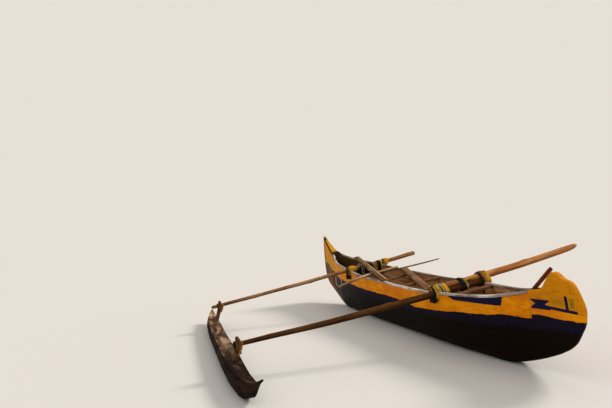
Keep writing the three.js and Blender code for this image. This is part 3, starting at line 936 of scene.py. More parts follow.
@dataclass(frozen=True)
class Rope:
    """A three-strand rope along a path."""

    path: tuple[Vector, ...]
    radius: float = 0.0055
    sides: int = 12
    step: float = 0.0045
    strands: int = 3
    lay: float = 7.0
    crease: float = 0.76
    end_share: float = 0.6

    def body(self, index: int = 0) -> bmesh.types.BMesh:
        """Returns the rope as a closed body with this material index.

        Args:
            index: The material index of its faces.

        Returns:
            The body.
        """
        route = evenly(self.path, self.step)
        twist = math.tau / (self.lay * self.radius)

        def outline(along: float, i: int) -> Offsets:
            """Returns the rope's outline at point i of its route."""
            radius = self.radius * (self.end_share if i in (0, len(route) - 1) else 1.0)
            middle, swing = (1 + self.crease) / 2, (1 - self.crease) / 2

            def reach(turn: float) -> float:
                """Returns how far the strands stand out at this angle."""
                lobe = math.cos(self.strands * (turn - twist * along / self.strands))
                return radius * (middle + swing * lobe)

            return ring(self.sides, reach)

        loops = beam(route, outline)
        for loop in loops:
            for k, place in enumerate(loop.grain):
                out = math.hypot(place.y, place.z) / self.radius
                loop.grain[k] = Vector((place.x, clamp((out - self.crease) / (1 - self.crease)), 0.0))
        return skin(loops, lambda row, column: index, (index, index))


# Hull


PAINTED = (Look.PAINT, Look.INSIDE)


@dataclass(frozen=True)
class HullLines:
    """The hull's lines. Columns: x, height of the keel, height of the gunwale, half breadth there."""

    rows: Table = (
        (-2.85, 0.53, 0.575, 0.014), (-2.832, 0.462, 0.642, 0.017), (-2.785, 0.392, 0.742, 0.022),
        (-2.753, 0.3476, 0.771, 0.025), (-2.715, 0.3001, 0.782, 0.0284), (-2.68, 0.2695, 0.797, 0.0312),
        (-2.645, 0.2435, 0.826, 0.0335), (-2.616, 0.2258, 0.834, 0.0348), (-2.585, 0.209, 0.828, 0.036),
        (-2.53, 0.181, 0.765, 0.039), (-2.475, 0.156, 0.704, 0.045), (-2.35, 0.108, 0.681, 0.06),
        (-2.2, 0.058, 0.654, 0.103), (-2.0, 0.006, 0.628, 0.168), (-1.8, 0.0, 0.616, 0.21),
        (-1.4, 0.0, 0.61, 0.276), (-1.0, 0.0, 0.607, 0.3), (-0.5, 0.0, 0.614, 0.297),
        (0.0, 0.0, 0.635, 0.297), (0.5, 0.0, 0.652, 0.301), (0.8, 0.0, 0.67, 0.3),
        (1.2, 0.0, 0.706, 0.276), (1.6, 0.0, 0.741, 0.244), (2.0, 0.0, 0.783, 0.192),
        (2.2, 0.01, 0.818, 0.148), (2.4, 0.052, 0.868, 0.092), (2.6, 0.122, 0.945, 0.058),
        (2.8, 0.199, 1.062, 0.038), (2.94, 0.251, 1.16, 0.025), (3.02, 0.284, 1.212, 0.017),
        (3.075, 0.311, 1.075, 0.017), (3.135, 0.352, 0.88, 0.017), (3.185, 0.418, 0.66, 0.016),
        (3.2, 0.47, 0.56, 0.014),
    )
    seam_rows: Table = (
        (-2.9, 0.475), (-2.3, 0.462), (-1.8, 0.438), (-1.3, 0.413), (-0.8, 0.402),
        (0.0, 0.44), (1.1, 0.486), (2.0, 0.478), (3.25, 0.455),
    )
    power: float = 2.5
    keel_share: float = 0.4
    rail_height: float = 0.024

    def keel(self, x: float) -> float:
        """Returns the height of the keel at x."""
        return max(curve_at(self.rows, 1, x), 0.0)

    def gunwale(self, x: float) -> float:
        """Returns the height of the gunwale at x."""
        return curve_at(self.rows, 2, x)

    def breadth(self, x: float) -> float:
        """Returns the half breadth at the gunwale at x."""
        return curve_at(self.rows, 3, x)

    def seam(self, x: float) -> float:
        """Returns the height of the seam between dugout and planks at x."""
        return curve_at(self.seam_rows, 1, x)

    def ends(self) -> tuple[float, float]:
        """Returns the x of the two places where the keel's curve meets the seam."""
        under = [x / 2000 for x in range(-5700, 6401) if self.keel(x / 2000) < self.seam(x / 2000) - 0.001]
        return under[0], under[-1]

    def rail_floor(self, x: float) -> float:
        """Returns the height of the rails' underside at x."""
        return self.gunwale(x) - self.rail_height

    def side(self, x: float, z: float) -> float:
        """Returns the half breadth of the hull's outside at x and height z.

        Args:
            x: The place along the hull.
            z: The height.

        Returns:
            The half breadth.
        """
        rise = clamp((z - self.keel(x)) / (self.gunwale(x) - self.keel(x)))
        full = (1 - (1 - rise) ** self.power) ** (1 / self.power)
        keel = min(KEEL_HALF, self.breadth(x) * self.keel_share)
        return blend(keel, self.breadth(x), full)


LINES = HullLines()


def stations(start: float, end: float, step: float, ends: float = 0.35) -> list[float]:
    """Returns x places from start to end, closer together within this distance of each end.

    Args:
        start: The first place.
        end: The last place.
        step: The widest spacing.
        ends: How far the closer spacing reaches.

    Returns:
        The places in order.
    """
    places, x = [start], start
    while x < end - step * 0.3:
        near = min(x - start, end - x)
        x += step * (0.35 if near < ends * 0.5 else 0.7 if near < ends else 1.0)
        places.append(min(x, end))
    places[-1] = end
    return places


def grained(points: Sequence[Vector]) -> Loop:
    """Returns a loop whose grain runs along the hull."""
    return Loop(list(points), list(points))


@dataclass
class Dugout:
    """The hollowed log that the planks stand on."""

    wall: float = 0.026
    floor: float = 0.05
    hold: tuple[float, float] = (-2.44, 2.55)
    ramp: float = 0.05
    outer_rows: int = 16
    inner_rows: int = 16
    step: float = 0.06
    adze: float = 0.003
    turn: float = 0.72

    def inside(self, x: float, share: float) -> tuple[float, float]:
        """Returns half breadth and height of the hollow, share 0 at its rim and 1 on its middle line.

        Args:
            x: The place along the hull.
            share: How far in from the rim the point lies.

        Returns:
            The half breadth and the height.
        """
        seam, bottom = LINES.seam(x), LINES.keel(x) + self.floor
        depth = LINES.gunwale(x) - bottom
        z = bottom + max(seam - bottom, 0.001) * max(1 - share / self.turn, 0) ** 1.5
        rise = clamp((z - bottom) / depth)
        round_off = (1 - (1 - rise) ** 3) ** (1 / 3)
        half = max((LINES.side(x, z) - self.wall) * blend(0.7, 1, round_off), 0.012)
        if share > self.turn:
            half *= (1 - share) / (1 - self.turn)
        flat = (max(LINES.side(x, seam) - 0.004, 0.001) * (1 - share), seam)
        aft, fore = self.hold
        open_up = ease(x, aft, aft + self.ramp) * ease(-x, -fore, -fore + self.ramp)
        return blend(flat[0], half, open_up), blend(flat[1], z, open_up)

    def loop(self, x: float) -> Loop:
        """Returns the dugout's section at x, from the port rim down round the outside.

        Args:
            x: The place along the hull.

        Returns:
            The section.
        """
        keel, top = LINES.keel(x), LINES.seam(x)
        outside = []
        for k in range(self.outer_rows + 1):
            z = keel + (top - keel) * (1 - k / self.outer_rows) ** 1.8
            outside.append((LINES.side(x, z), z))
        inside = [self.inside(x, k / self.inner_rows) for k in range(self.inner_rows + 1)]
        port_in = [Vector((x, y, z)) for y, z in inside]
        for point in port_in[1:]:
            point.z += self.adze * rough(Vector((point.x * 0.7, point.y, point.z)), 9.0, 3.0)
        points = [Vector((x, y, max(z, (y - KEEL_HALF) * math.tan(LEAN)))) for y, z in outside]
        points += [Vector((x, -y, z)) for y, z in reversed(outside)]
        points += [Vector((p.x, -p.y, p.z)) for p in port_in[:-1]]
        points += reversed(port_in)
        return grained(points)

    def build(self) -> None:
        """Builds the dugout."""
        places = stations(*LINES.ends(), self.step, 0.5)
        outer = 2 * self.outer_rows + 1
        hollow = range(outer + 1, outer + 1 + 2 * self.inner_rows)
        body = skin([self.loop(x) for x in places], lambda row, column: int(column in hollow))
        piece("dugout_hull", body, PAINTED, "hull_dark", "hull_base")


@dataclass
class SidePlanks:
    """The planks that raise the dugout's sides, and the patches let in near the stern."""

    corner: float = 0.003
    rows: int = 8
    step: float = 0.06
    level: float = 0.55

    def slant(self, z: float) -> float:
        """Returns the x of the slanted joint between patch and washstrake at height z."""
        return PATCH_JOINT + PATCH_LEAN * z

    def loop(self, side: int, share: float, ends: Sequence[Callable[[float], float]]) -> Loop:
        """Returns a plank's section.

        Args:
            side: 1 to port, -1 to starboard.
            share: How far along the plank the section stands.
            ends: The x of the plank's two ends, each against height.

        Returns:
            The section, outside upwards and inside downwards.
        """
        points = []
        middle = blend(ends[0](self.level), ends[1](self.level), share)
        low, high = LINES.seam(middle) + SEAT, LINES.rail_floor(middle) - SEAT
        for inner in (0.0, PLANK):
            column = []
            for k in range(self.rows + 1):
                z = low + (high - low) * k / self.rows
                edge = k in (0, self.rows)
                if edge:
                    z += self.corner * (0.35 if k == 0 else -0.35)
                x = blend(ends[0](z), ends[1](z), share)
                y = max(LINES.side(x, z) - inner, 0.006)
                if edge:
                    y += self.corner * (0.6 if inner else -0.6)
                column.append(Vector((x, side * y, z)))
            points += column if not inner else reversed(column)
        return grained(points)

    def build(self) -> None:
        """Builds the four planks."""
        kinds = {
            "washstrake": (lambda z: self.slant(z) + 2 * SEAT, lambda z: BOW_JOINT - SEAT),
            "stern_patch": (lambda z: STERN_JOINT + SEAT, lambda z: self.slant(z) - 2 * SEAT),
        }
        inner = range(self.rows + 1, 2 * self.rows + 1)
        for name, side in (("port", 1), ("starboard", -1)):
            for kind, ends in kinds.items():
                count = max(6, round((ends[1](self.level) - ends[0](self.level)) / self.step))
                loops = [self.loop(side, k / count, ends) for k in range(count + 1)]
                body = skin(loops, lambda row, column: int(column in inner), (1, 1), 0.002)
                node = f"{name}_{kind}"
                piece(f"{node}_plank", body, PAINTED, "yellow_paint", node)


@dataclass
class EndBlocks:
    """The solid blocks that close the planking at stern and bow, each with a raised crest."""

    hold: float = -2.44
    ramp: float = 0.012
    rows: int = 12
    over: int = 8
    corner: float = 0.016
    floor: float = 0.003
    wall_share: float = 0.6

    def loop(self, x: float, hollow: float) -> Loop:
        """Returns a block's section at x; hollow is 1 where the hold runs into it.

        Args:
            x: The place along the hull.
            hollow: How far the hold is open there.

        Returns:
            The section.
        """
        low = max(LINES.seam(x) + SEAT, LINES.keel(x))
        high = LINES.gunwale(x)
        top = LINES.side(x, high)
        corner = min(self.corner, top * 0.6, (high - low) * 0.4) * (1 - 0.8 * hollow)
        half = []
        for k in range(self.rows):
            z = blend(low, high - corner, k / (self.rows - 1))
            half.append((LINES.side(x, z), z))
        for turn in (math.pi / 6, math.pi / 3, math.pi / 2):
            half.append((top - corner * (1 - math.cos(turn)), high - corner * (1 - math.sin(turn))))
        edge, floor = max(top - PLANK, top * 0.3), low + self.floor
        for k in range(self.over):
            share = k / self.over
            across = edge * (1 - max(share - self.wall_share, 0) / (1 - self.wall_share))
            down = blend(high, floor, min(share * 1.6, 1)) if share < self.wall_share else floor
            half.append((blend((top - corner) * (1 - share), across, hollow), blend(high, down, hollow)))
        centre = Vector((x, 0, blend(high, floor, hollow)))
        port = [Vector((x, y, z)) for y, z in half]
        starboard = [Vector((x, -y, z)) for y, z in reversed(half)]
        return grained([*port, centre, *starboard])

    def build(self) -> None:
        """Builds both blocks."""
        aft, fore = LINES.ends()
        dug = self.hold + self.ramp
        places = sorted([*stations(-2.85, STERN_JOINT - SEAT, 0.02, 0.1), aft, self.hold, dug])
        inner = range(self.rows + 2, self.rows + 2 + 2 * self.over)
        loops = [self.loop(x, ease(x, self.hold, dug)) for x in places]
        open_rows = [x >= self.hold for x in places]
        body = skin(loops, lambda row, column: int(open_rows[row] and column in inner), (0, 1), 0.003)
        piece("stern_crest_block", body, PAINTED, "yellow_paint", "stern_block", crisp=0.7)
        places = sorted([*stations(BOW_JOINT + SEAT, 3.2, 0.025, 0.2), fore])
        body = skin([self.loop(x, 0.0) for x in places], caps=(1, 0), soften=0.003)
        piece("prow_block", body, PAINTED, "yellow_paint", "bow_block", crisp=0.7)


@dataclass
class Rails:
    """The rubbing rails on the planks' top edges, each in two lengths."""

    joint: float = -1.285
    proud: float = 0.009
    least: float = 0.005
    wear: float = 0.0018
    gap: float = 0.004
    corner: float = 0.007
    step: float = 0.045

    def loop(self, side: int, x: float, seed: float) -> Loop:
        """Returns a rail's section at x.

        Args:
            side: 1 to port, -1 to starboard.
            x: The place along the hull.
            seed: Picks its wear.

        Returns:
            The section.
        """
        inner = max(LINES.breadth(x) - PLANK - self.proud, self.least)
        outer = LINES.breadth(x) + self.proud
        middle, half = (inner + outer) / 2, (outer - inner) / 2
        low, high = LINES.rail_floor(x), LINES.gunwale(x)
        points, grain = [], []
        for a, b in slab_outline(half, (high - low) / 2, min(self.corner, half * 0.9)):
            worn = self.wear * rough(Vector((x * 3, a * 20, b * 20)), 1.0, seed)
            y = middle + a + (worn if a > 0 else -worn)
            points.append(Vector((x, side * y, (low + high) / 2 + b - (abs(worn) if b > 0 else 0))))
            grain.append(Vector((x, a, b + seed)))
        return Loop(points, grain)

    def build(self) -> None:
        """Builds the four lengths of rail."""
        lengths = {
            "aft": (STERN_JOINT + SEAT, self.joint - self.gap),
            "main": (self.joint + self.gap, BOW_JOINT - SEAT),
        }
        for seed, (name, side) in enumerate((("port", 1), ("starboard", -1))):
            for length, (start, end) in lengths.items():
                loops = [self.loop(side, x, seed + 0.5) for x in stations(start, end, self.step)]
                node = f"{name}_{length}_rail"
                look = Look.RAIL if side > 0 else Look.FAR_RAIL
                piece(f"{node}_strip", skin(loops, soften=0.002), (look,), "rail_wood", node)


@dataclass
class Crosspieces:
    """The two bars that carry the booms, and the three thwarts."""

    bars: tuple[tuple[str, float, float], ...] = (
        ("fore_crossbar", 1.19, 0.637), ("aft_crossbar", -1.262, 0.558),
    )
    bar_size: tuple[float, float] = (0.06, 0.05)
    proud: float = 0.062
    thwarts: tuple[tuple[str, float, float, float], ...] = (
        ("fore_thwart", 0.11, 0.4, 0.613),
        ("middle_thwart", -0.46, -0.38, 0.608),
        ("aft_thwart", -1.545, -1.455, 0.604),
    )
    thwart_size: tuple[float, float] = (0.062, 0.03)
    step: float = 0.02
    corner: float = 0.006
    uneven: float = 0.035

    def bar(
        self, start: Vector, end: Vector, size: tuple[float, float], seed: float, tips: float = 0.0
    ) -> bmesh.types.BMesh:
        """Returns a hewn bar.

        Args:
            start: One end of its centre line.
            end: The other end.
            size: Its width and height.
            seed: Picks its unevenness.
            tips: The length of the painted tips.

        Returns:
            The bar.
        """
        route = evenly([start, end], self.step)
        outline = slab_outline(size[0] / 2, size[1] / 2, self.corner)

        def hewn(along: float, i: int) -> Offsets:
            """Returns the bar's uneven outline this far along it."""
            offsets = []
            for a, b in outline:
                cut = 1 + self.uneven * rough(Vector((along * 6, a * 30, b * 30)), 1.0, seed)
                offsets.append((a * cut, b * min(cut, 1.0)))
            return offsets

        painted = round(tips / self.step)
        bare = range(painted, len(route) - 1 - painted)
        ends = (1, 1) if tips else (0, 0)
        return skin(beam(route, hewn, UP), lambda row, column: int(row not in bare), ends, 0.003)

    def build(self) -> None:
        """Builds the crossbars and the thwarts."""
        for seed, (name, x, top) in enumerate(self.bars):
            z = top - self.bar_size[1] / 2
            reach = LINES.side(x, z) + self.proud
            body = self.bar(Vector((x, reach, z)), Vector((x, -reach, z)), self.bar_size, seed, self.proud)
            piece(f"{name}_beam", body, (Look.BAR, Look.TIP), "bare_wood", name)
        for seed, (name, port, starboard, top) in enumerate(self.thwarts):
            z = top - self.thwart_size[1] / 2
            middle = (port + starboard) / 2
            reach = LINES.side(middle, z) - PLANK
            skew = (starboard - port) / 2 * (reach / LINES.breadth(middle))
            start, end = Vector((middle - skew, reach, z)), Vector((middle + skew, -reach, z))
            body = self.bar(start, end, self.thwart_size, seed + 4.0)
            piece(f"{name}_board", body, (Look.BAR,), "bare_wood", name)


# Outrigger


@dataclass
class Booms:
    """The two booms that reach the float, and the pole that balances the aft one."""

    fore: Table = (
        (1.19, 2.372, 0.56, 0.016), (1.19, 2.235, 0.567, 0.023), (1.19, 1.07, 0.648, 0.026),
        (1.19, 0.3, 0.712, 0.028), (1.19, -0.34, 0.741, 0.031), (1.19, -0.835, 0.788, 0.033),
    )
    aft: Table = (
        (-1.285, 2.388, 0.53, 0.02), (-1.285, 1.34, 0.549, 0.03),
        (-1.285, 0.35, 0.592, 0.033), (-1.285, -0.352, 0.62, 0.032),
    )
    balance: Table = (
        (-1.24, 0.326, 0.63, 0.025), (-1.2385, 0.05, 0.645, 0.028), (-1.2365, -0.3, 0.6655, 0.035),
        (-1.234, -0.76, 0.697, 0.036), (-1.2315, -1.218, 0.739, 0.035), (-1.23, -1.47, 0.766, 0.032),
        (-1.23, -1.56, 0.779, 0.025), (-1.23, -1.6, 0.788, 0.012),
    )

    def build(self) -> None:
        """Builds the three poles."""
        for name, rows, seed, look, slot in (
            ("fore_boom", self.fore, 1.0, Look.FORE_POLE, "pole_wood"),
            ("aft_boom", self.aft, 2.0, Look.POLE, "pole_wood"),
            ("aft_balance_pole", self.balance, 3.0, Look.BALANCE, "balance_wood"),
        ):
            body = Trunk(rows, seed, knots=9, uneven=0.05).body()
            piece(f"{name}_pole", body, (look,), slot, name)


@dataclass(frozen=True)
class Bundle:
    """What a lashing goes round, seen along the pole: discs of across, height and radius."""

    discs: tuple[Disc, ...]

    def around(self, turn: float, clear: float) -> tuple[float, float]:
        """Returns the point of a taut turn that faces this angle, this far off the bundle.

        Args:
            turn: The angle.
            clear: How far off the bundle the point lies.

        Returns:
            The point's across and height.
        """
        out = (math.cos(turn), math.sin(turn))
        across, height, radius = max(self.discs, key=lambda d: d[0] * out[0] + d[1] * out[1] + d[2])
        return across + (radius + clear) * out[0], height + (radius + clear) * out[1]


Section = Callable[[float], Bundle]


@dataclass(frozen=True)
class Turns:
    """Turns of rope round a bundle. A saddle crosses over it between two places on each turn."""

    bundle: Section
    start: float
    end: float
    count: float
    look: Look
    layer: float = 0.0
    radius: float = 0.0055
    saddle: bool = False
    width: float = 0.022
    slack: float = 0.0012
    seed: float = 0.0

    def path(self) -> tuple[Vector, ...]:
        """Returns the rope's path in the bundle's frame."""
        points = []
        for k in range(int(self.count * TURN_STEPS) + 1):
            turns = k / TURN_STEPS
            turn = math.tau * turns - math.pi / 2
            share = turns / self.count
            loose = self.slack * noise.noise(Vector((turns * 2.3, self.seed, 0.4)))
            clear = self.radius * (1 + 2 * self.layer) + abs(loose)
            if self.saddle:
                lap = int(turns)
                over = ease(turns - lap, 0.36, 0.64)
                sides = (self.start, self.end) if lap % 2 == 0 else (self.end, self.start)
                y = blend(*sides, over) + self.width * (share - 0.5)
                if lap % 2:
                    hump = ease(turns - lap, 0.3, 0.42) * (1 - ease(turns - lap, 0.58, 0.7))
                    clear += 2 * self.radius * hump
            else:
                y = blend(self.start, self.end, share) + 1.5 * loose
            x, z = self.bundle(y).around(turn, clear)
            points.append(Vector((x, y, z)))
        return tuple(points)


@dataclass(frozen=True)
class Strand:
    """A length of rope laid along a bundle."""

    bundle: Section
    start: float
    end: float
    facing: tuple[float, float]
    look: Look
    radius: float = 0.0055
    seed: float = 0.0

    def path(self) -> tuple[Vector, ...]:
        """Returns the rope's path in the bundle's frame."""
        points = []
        for k in range(STRAND_STEPS + 1):
            share = k / STRAND_STEPS
            y = blend(self.start, self.end, share)
            wave = noise.noise(Vector((share * 3, self.seed, 0.7)))
            turn = blend(*self.facing, share) + 0.12 * wave
            x, z = self.bundle(y).around(turn, self.radius * (1.2 + 0.5 * math.sin(math.pi * share)))
            points.append(Vector((x, y, z)))
        return tuple(points)


@dataclass(frozen=True)
class Knot:
    """A small overhand knot that lies on a bundle."""

    bundle: Section
    at: float
    facing: float
    look: Look
    size: float = 0.017
    radius: float = 0.0045

    def path(self) -> tuple[Vector, ...]:
        """Returns the rope's path in the bundle's frame."""
        x, z = self.bundle(self.at).around(self.facing, self.radius * 2.6)
        centre, out = Vector((x, self.at, z)), Vector((math.cos(self.facing), 0, math.sin(self.facing)))
        along = Vector((0, 1, 0))
        side = out.cross(along)
        points = []
        for k in range(KNOT_STEPS + 1):
            t = 0.25 + (math.tau - 0.5) * k / KNOT_STEPS
            a, b, c = math.sin(t) + 2 * math.sin(2 * t), math.cos(t) - 2 * math.cos(2 * t), -math.sin(3 * t)
            points.append(centre + (along * a + side * b + out * c * 0.9) * (self.size / 2.4))
        return tuple(points)


@dataclass(frozen=True)
class ForkTurns:
    """Turns that go over a boom beside its forked post and round the post under the fork."""

    centre: Vector
    boom: float
    trunk: float
    prong: float
    side: int
    laps: int
    look: Look
    radius: float = 0.0038
    drop: float = 0.046

    def path(self) -> tuple[Vector, ...]:
        """Returns the rope's path in the post's frame."""
        rows = []
        for lap in range(self.laps):
            out = lap * 2 * self.radius
            over, round_post = self.boom + self.radius * 1.15, self.trunk + self.radius * 1.3
            s, low = self.prong + self.radius * 1.5 + out, -self.boom - self.drop - out
            rows += [
                (0.0, s, over, 0.0), (over * 0.8, s, over * 0.6, 0.0), (over, s * 0.95, -0.008, 0.0),
                (round_post * 0.93, s * 0.76, low * 0.62, 0.0), (round_post, 0.0, low, 0.0),
                (0.0, -round_post, low - 0.008, 0.0), (-round_post, 0.0, low - 0.006, 0.0),
                (-round_post * 0.93, s * 0.76, low * 0.62, 0.0), (-over, s * 0.95 + 0.003, -0.008, 0.0),
                (-over * 0.8, s + 0.005, over * 0.6, 0.0),
            ]
        rows.append((0.0, s + 2 * self.radius, over, 0.0))
        turned = Vector((1, self.side, 1))
        return tuple(self.centre + Vector(point[:3]) * turned for point in smooth_route(rows, 0.004))


Tie = Turns | Strand | Knot | ForkTurns


def rope_body(ties: Sequence[Tie]) -> tuple[bmesh.types.BMesh, list[Look]]:
    """Returns one body made of all these ropes, and its finishes."""
    looks = list(dict.fromkeys(tie.look for tie in ties))
    return merged([Rope(tie.path(), tie.radius).body(looks.index(tie.look)) for tie in ties]), looks


def block_discs(x0: float, x1: float, z0: float, z1: float, corner: float = 0.004) -> tuple[Disc, ...]:
    """Returns a bar's four corners as small discs."""
    return tuple((x, z, corner) for x in (x0 + corner, x1 - corner) for z in (z0 + corner, z1 - corner))


@dataclass
class Lashings:
    """The ropes that tie the booms to the crossbars and the aft poles to each other."""

    booms: Booms
    fore_bar: Row = (1.16, 1.22, 0.587, 0.637)
    aft_bar: Row = (-1.292, -1.232, 0.508, 0.558)

    def disc(self, rows: Sequence[Row], y: float) -> Disc:
        """Returns a pole's disc where it crosses this y."""
        flipped = [(-row[1], row[0], row[2], row[3]) for row in rows]
        return tuple(curve_at(flipped, column, -y) for column in (1, 2, 3))

    def section(self, poles: Sequence[Table], bar: Row = ()) -> Section:
        """Returns what lies at each y: these poles, and the crossbar where one is given."""
        corners = block_discs(*bar) if bar else ()
        return lambda y: Bundle(tuple(self.disc(rows, y) for rows in poles) + corners)

    def tie(self, name: str, *ties: Tie) -> None:
        """Builds one lashing from its ropes."""
        body, looks = rope_body(ties)
        piece(f"{name}_rope", body, looks, "rope", name, crisp=ROPE_CRISP)

    def build(self) -> None:
        """Builds the lashings on the hull."""
        boom = self.section([self.booms.fore])
        both = self.section([self.booms.fore], self.fore_bar)
        self.tie(
            "fore_port_lashing",
            Turns(both, 0.322, 0.25, 4, Look.BLACK, radius=0.0045, saddle=True, width=0.018, seed=1.0),
            Turns(boom, 0.244, 0.168, 7, Look.YELLOW, 0.0, 0.0056, seed=2.0),
            Turns(boom, 0.29, 0.205, 7, Look.YELLOW, 1.0, 0.0055, slack=0.003, seed=3.0),
            Turns(both, 0.29, 0.262, 2, Look.RUST, 0.8, 0.0042, seed=3.5),
            Knot(boom, 0.232, 1.9, Look.YELLOW, 0.02, 0.005),
        )
        self.tie(
            "fore_boom_wrap",
            Turns(both, 0.140, -0.03, 14, Look.BLACK, 0.0, 0.006, seed=9.0),
            Turns(both, 0.125, 0.0, 8, Look.BLACK, 0.9, 0.006, slack=0.004, seed=10.0),
            Turns(both, 0.148, 0.02, 1.6, Look.STRAW, 1.9, 0.0045, slack=0.004, seed=11.0),
            Turns(both, 0.012, 0.10, 1.3, Look.OLIVE, 2.0, 0.0045, slack=0.004, seed=12.0),
            Turns(boom, -0.045, -0.09, 4, Look.BLACK, 0.0, 0.005, seed=12.5),
            Knot(boom, 0.135, 2.4, Look.STRAW),
        )
        self.tie(
            "fore_starboard_lashing",
            Turns(both, -0.112, -0.165, 5, Look.OLIVE, 0.0, 0.0052, seed=4.0),
            Turns(both, -0.17, -0.222, 5, Look.BLACK, 0.3, 0.0055, slack=0.003, seed=5.0),
            Turns(both, -0.228, -0.25, 2, Look.YELLOW, 0.6, 0.005, seed=6.0),
            Turns(both, -0.322, -0.258, 4, Look.BLACK, radius=0.0045, saddle=True, width=0.016, seed=7.0),
            Turns(boom, -0.334, -0.372, 3.5, Look.YELLOW, 0.0, 0.0056, seed=8.0),
            Turns(boom, -0.292, -0.35, 5, Look.YELLOW, 1.0, 0.0054, slack=0.003, seed=8.5),
            Knot(boom, -0.325, 1.7, Look.STRAW, 0.017, 0.0045),
        )
        pole = self.section([self.booms.balance])
        pair = self.section([self.booms.balance, self.booms.aft])
        whole = self.section([self.booms.balance, self.booms.aft], self.aft_bar)
        self.tie(
            "aft_port_lashing",
            Turns(whole, 0.322, 0.25, 4, Look.BLACK, radius=0.0055, saddle=True, width=0.02, seed=13.0),
            Turns(whole, 0.262, 0.248, 2, Look.OLIVE, 0.9, 0.005, seed=13.5),
            Turns(pair, 0.315, 0.245, 6, Look.YELLOW, 0.5, 0.006, seed=14.0),
            Turns(pair, 0.236, 0.222, 2, Look.BLACK, 0.0, 0.0048, seed=15.0),
            Turns(pair, 0.222, 0.208, 2, Look.STRAW, 0.0, 0.0042, seed=15.5),
            Turns(pair, 0.20, 0.158, 4, Look.YELLOW, 0.0, 0.0056, seed=16.0),
            Turns(pair, 0.30, 0.255, 1.5, Look.OLIVE, 1.6, 0.005, slack=0.006, seed=16.5),
            Knot(pair, 0.235, 1.9, Look.STRAW, 0.018),
            Knot(pair, 0.288, 2.3, Look.OLIVE, 0.022, 0.005),
        )
        self.tie(
            "aft_middle_lashing",
            Turns(pair, 0.0, -0.048, 5, Look.BLACK, 0.0, 0.0052, seed=17.0),
            Turns(pair, -0.006, -0.036, 2, Look.BLACK, 1.0, 0.005, slack=0.004, seed=18.0),
            Turns(pair, -0.054, -0.073, 2, Look.OLIVE, 0.0, 0.005, seed=19.0),
            Knot(pair, -0.06, 2.9, Look.STRAW, 0.012, 0.0035),
            Strand(pole, -0.062, -0.24, (2.75, 2.5), Look.YELLOW, 0.0055, 19.5),
            Strand(pole, 0.15, 0.004, (1.95, 2.05), Look.STRAW, 0.0038, 19.8),
        )
        self.tie(
            "aft_starboard_lashing",
            Turns(whole, -0.322, -0.258, 4, Look.BLACK, radius=0.005, saddle=True, width=0.018, seed=20.0),
            Turns(pair, -0.243, -0.262, 2, Look.BLACK, 0.6, 0.006, seed=21.0),
            Turns(pair, -0.266, -0.3, 3, Look.RUST, 1.0, 0.006, seed=22.0),
            Turns(pair, -0.3, -0.348, 4, Look.YELLOW, 0.5, 0.0056, seed=23.0),
            Knot(pair, -0.322, 3.4, Look.RUST, 0.016),
        )


@dataclass
class HangingLoop:
    """The cord's loop that hangs from the fore boom, in the ground's frame."""

    diameter: float = 0.008
    step: float = 0.0045
    points: Table = (
        (1.19, 0.566, 0.618), (1.19, 0.567, 0.6), (1.19, 0.569, 0.565), (1.19, 0.57, 0.528),
        (1.189, 0.566, 0.494), (1.188, 0.554, 0.467), (1.188, 0.535, 0.451), (1.188, 0.513, 0.448),
        (1.188, 0.492, 0.459), (1.189, 0.48, 0.481), (1.19, 0.479, 0.509), (1.19, 0.488, 0.54),
        (1.19, 0.503, 0.571), (1.19, 0.519, 0.598), (1.19, 0.53, 0.6245),
    )

    def build(self) -> None:
        rows = [(*point, 0.0) for point in self.points]
        route = [Vector(point[:3]) for point in smooth_route(rows, self.step)]
        path = [GROUND @ point for point in route]
        length = sum((b - a).length for a, b in zip(path, path[1:], strict=False))
        body = Rope(tuple(route), self.diameter / 2).body()
        loop = piece("boom_cord", body, (Look.CORD,), "rope", "boom_cord_loop", GROUND, ROPE_CRISP)
        tuple(path[0])
        [tuple(point) for point in path]


# Float


@dataclass(frozen=True)
class Post:
    """A forked post: its boom's centre there in the hull's frame, and the post's foot in the ground's."""

    name: str
    seat: Row
    boom: float
    foot: float
    laps: tuple[int, int]


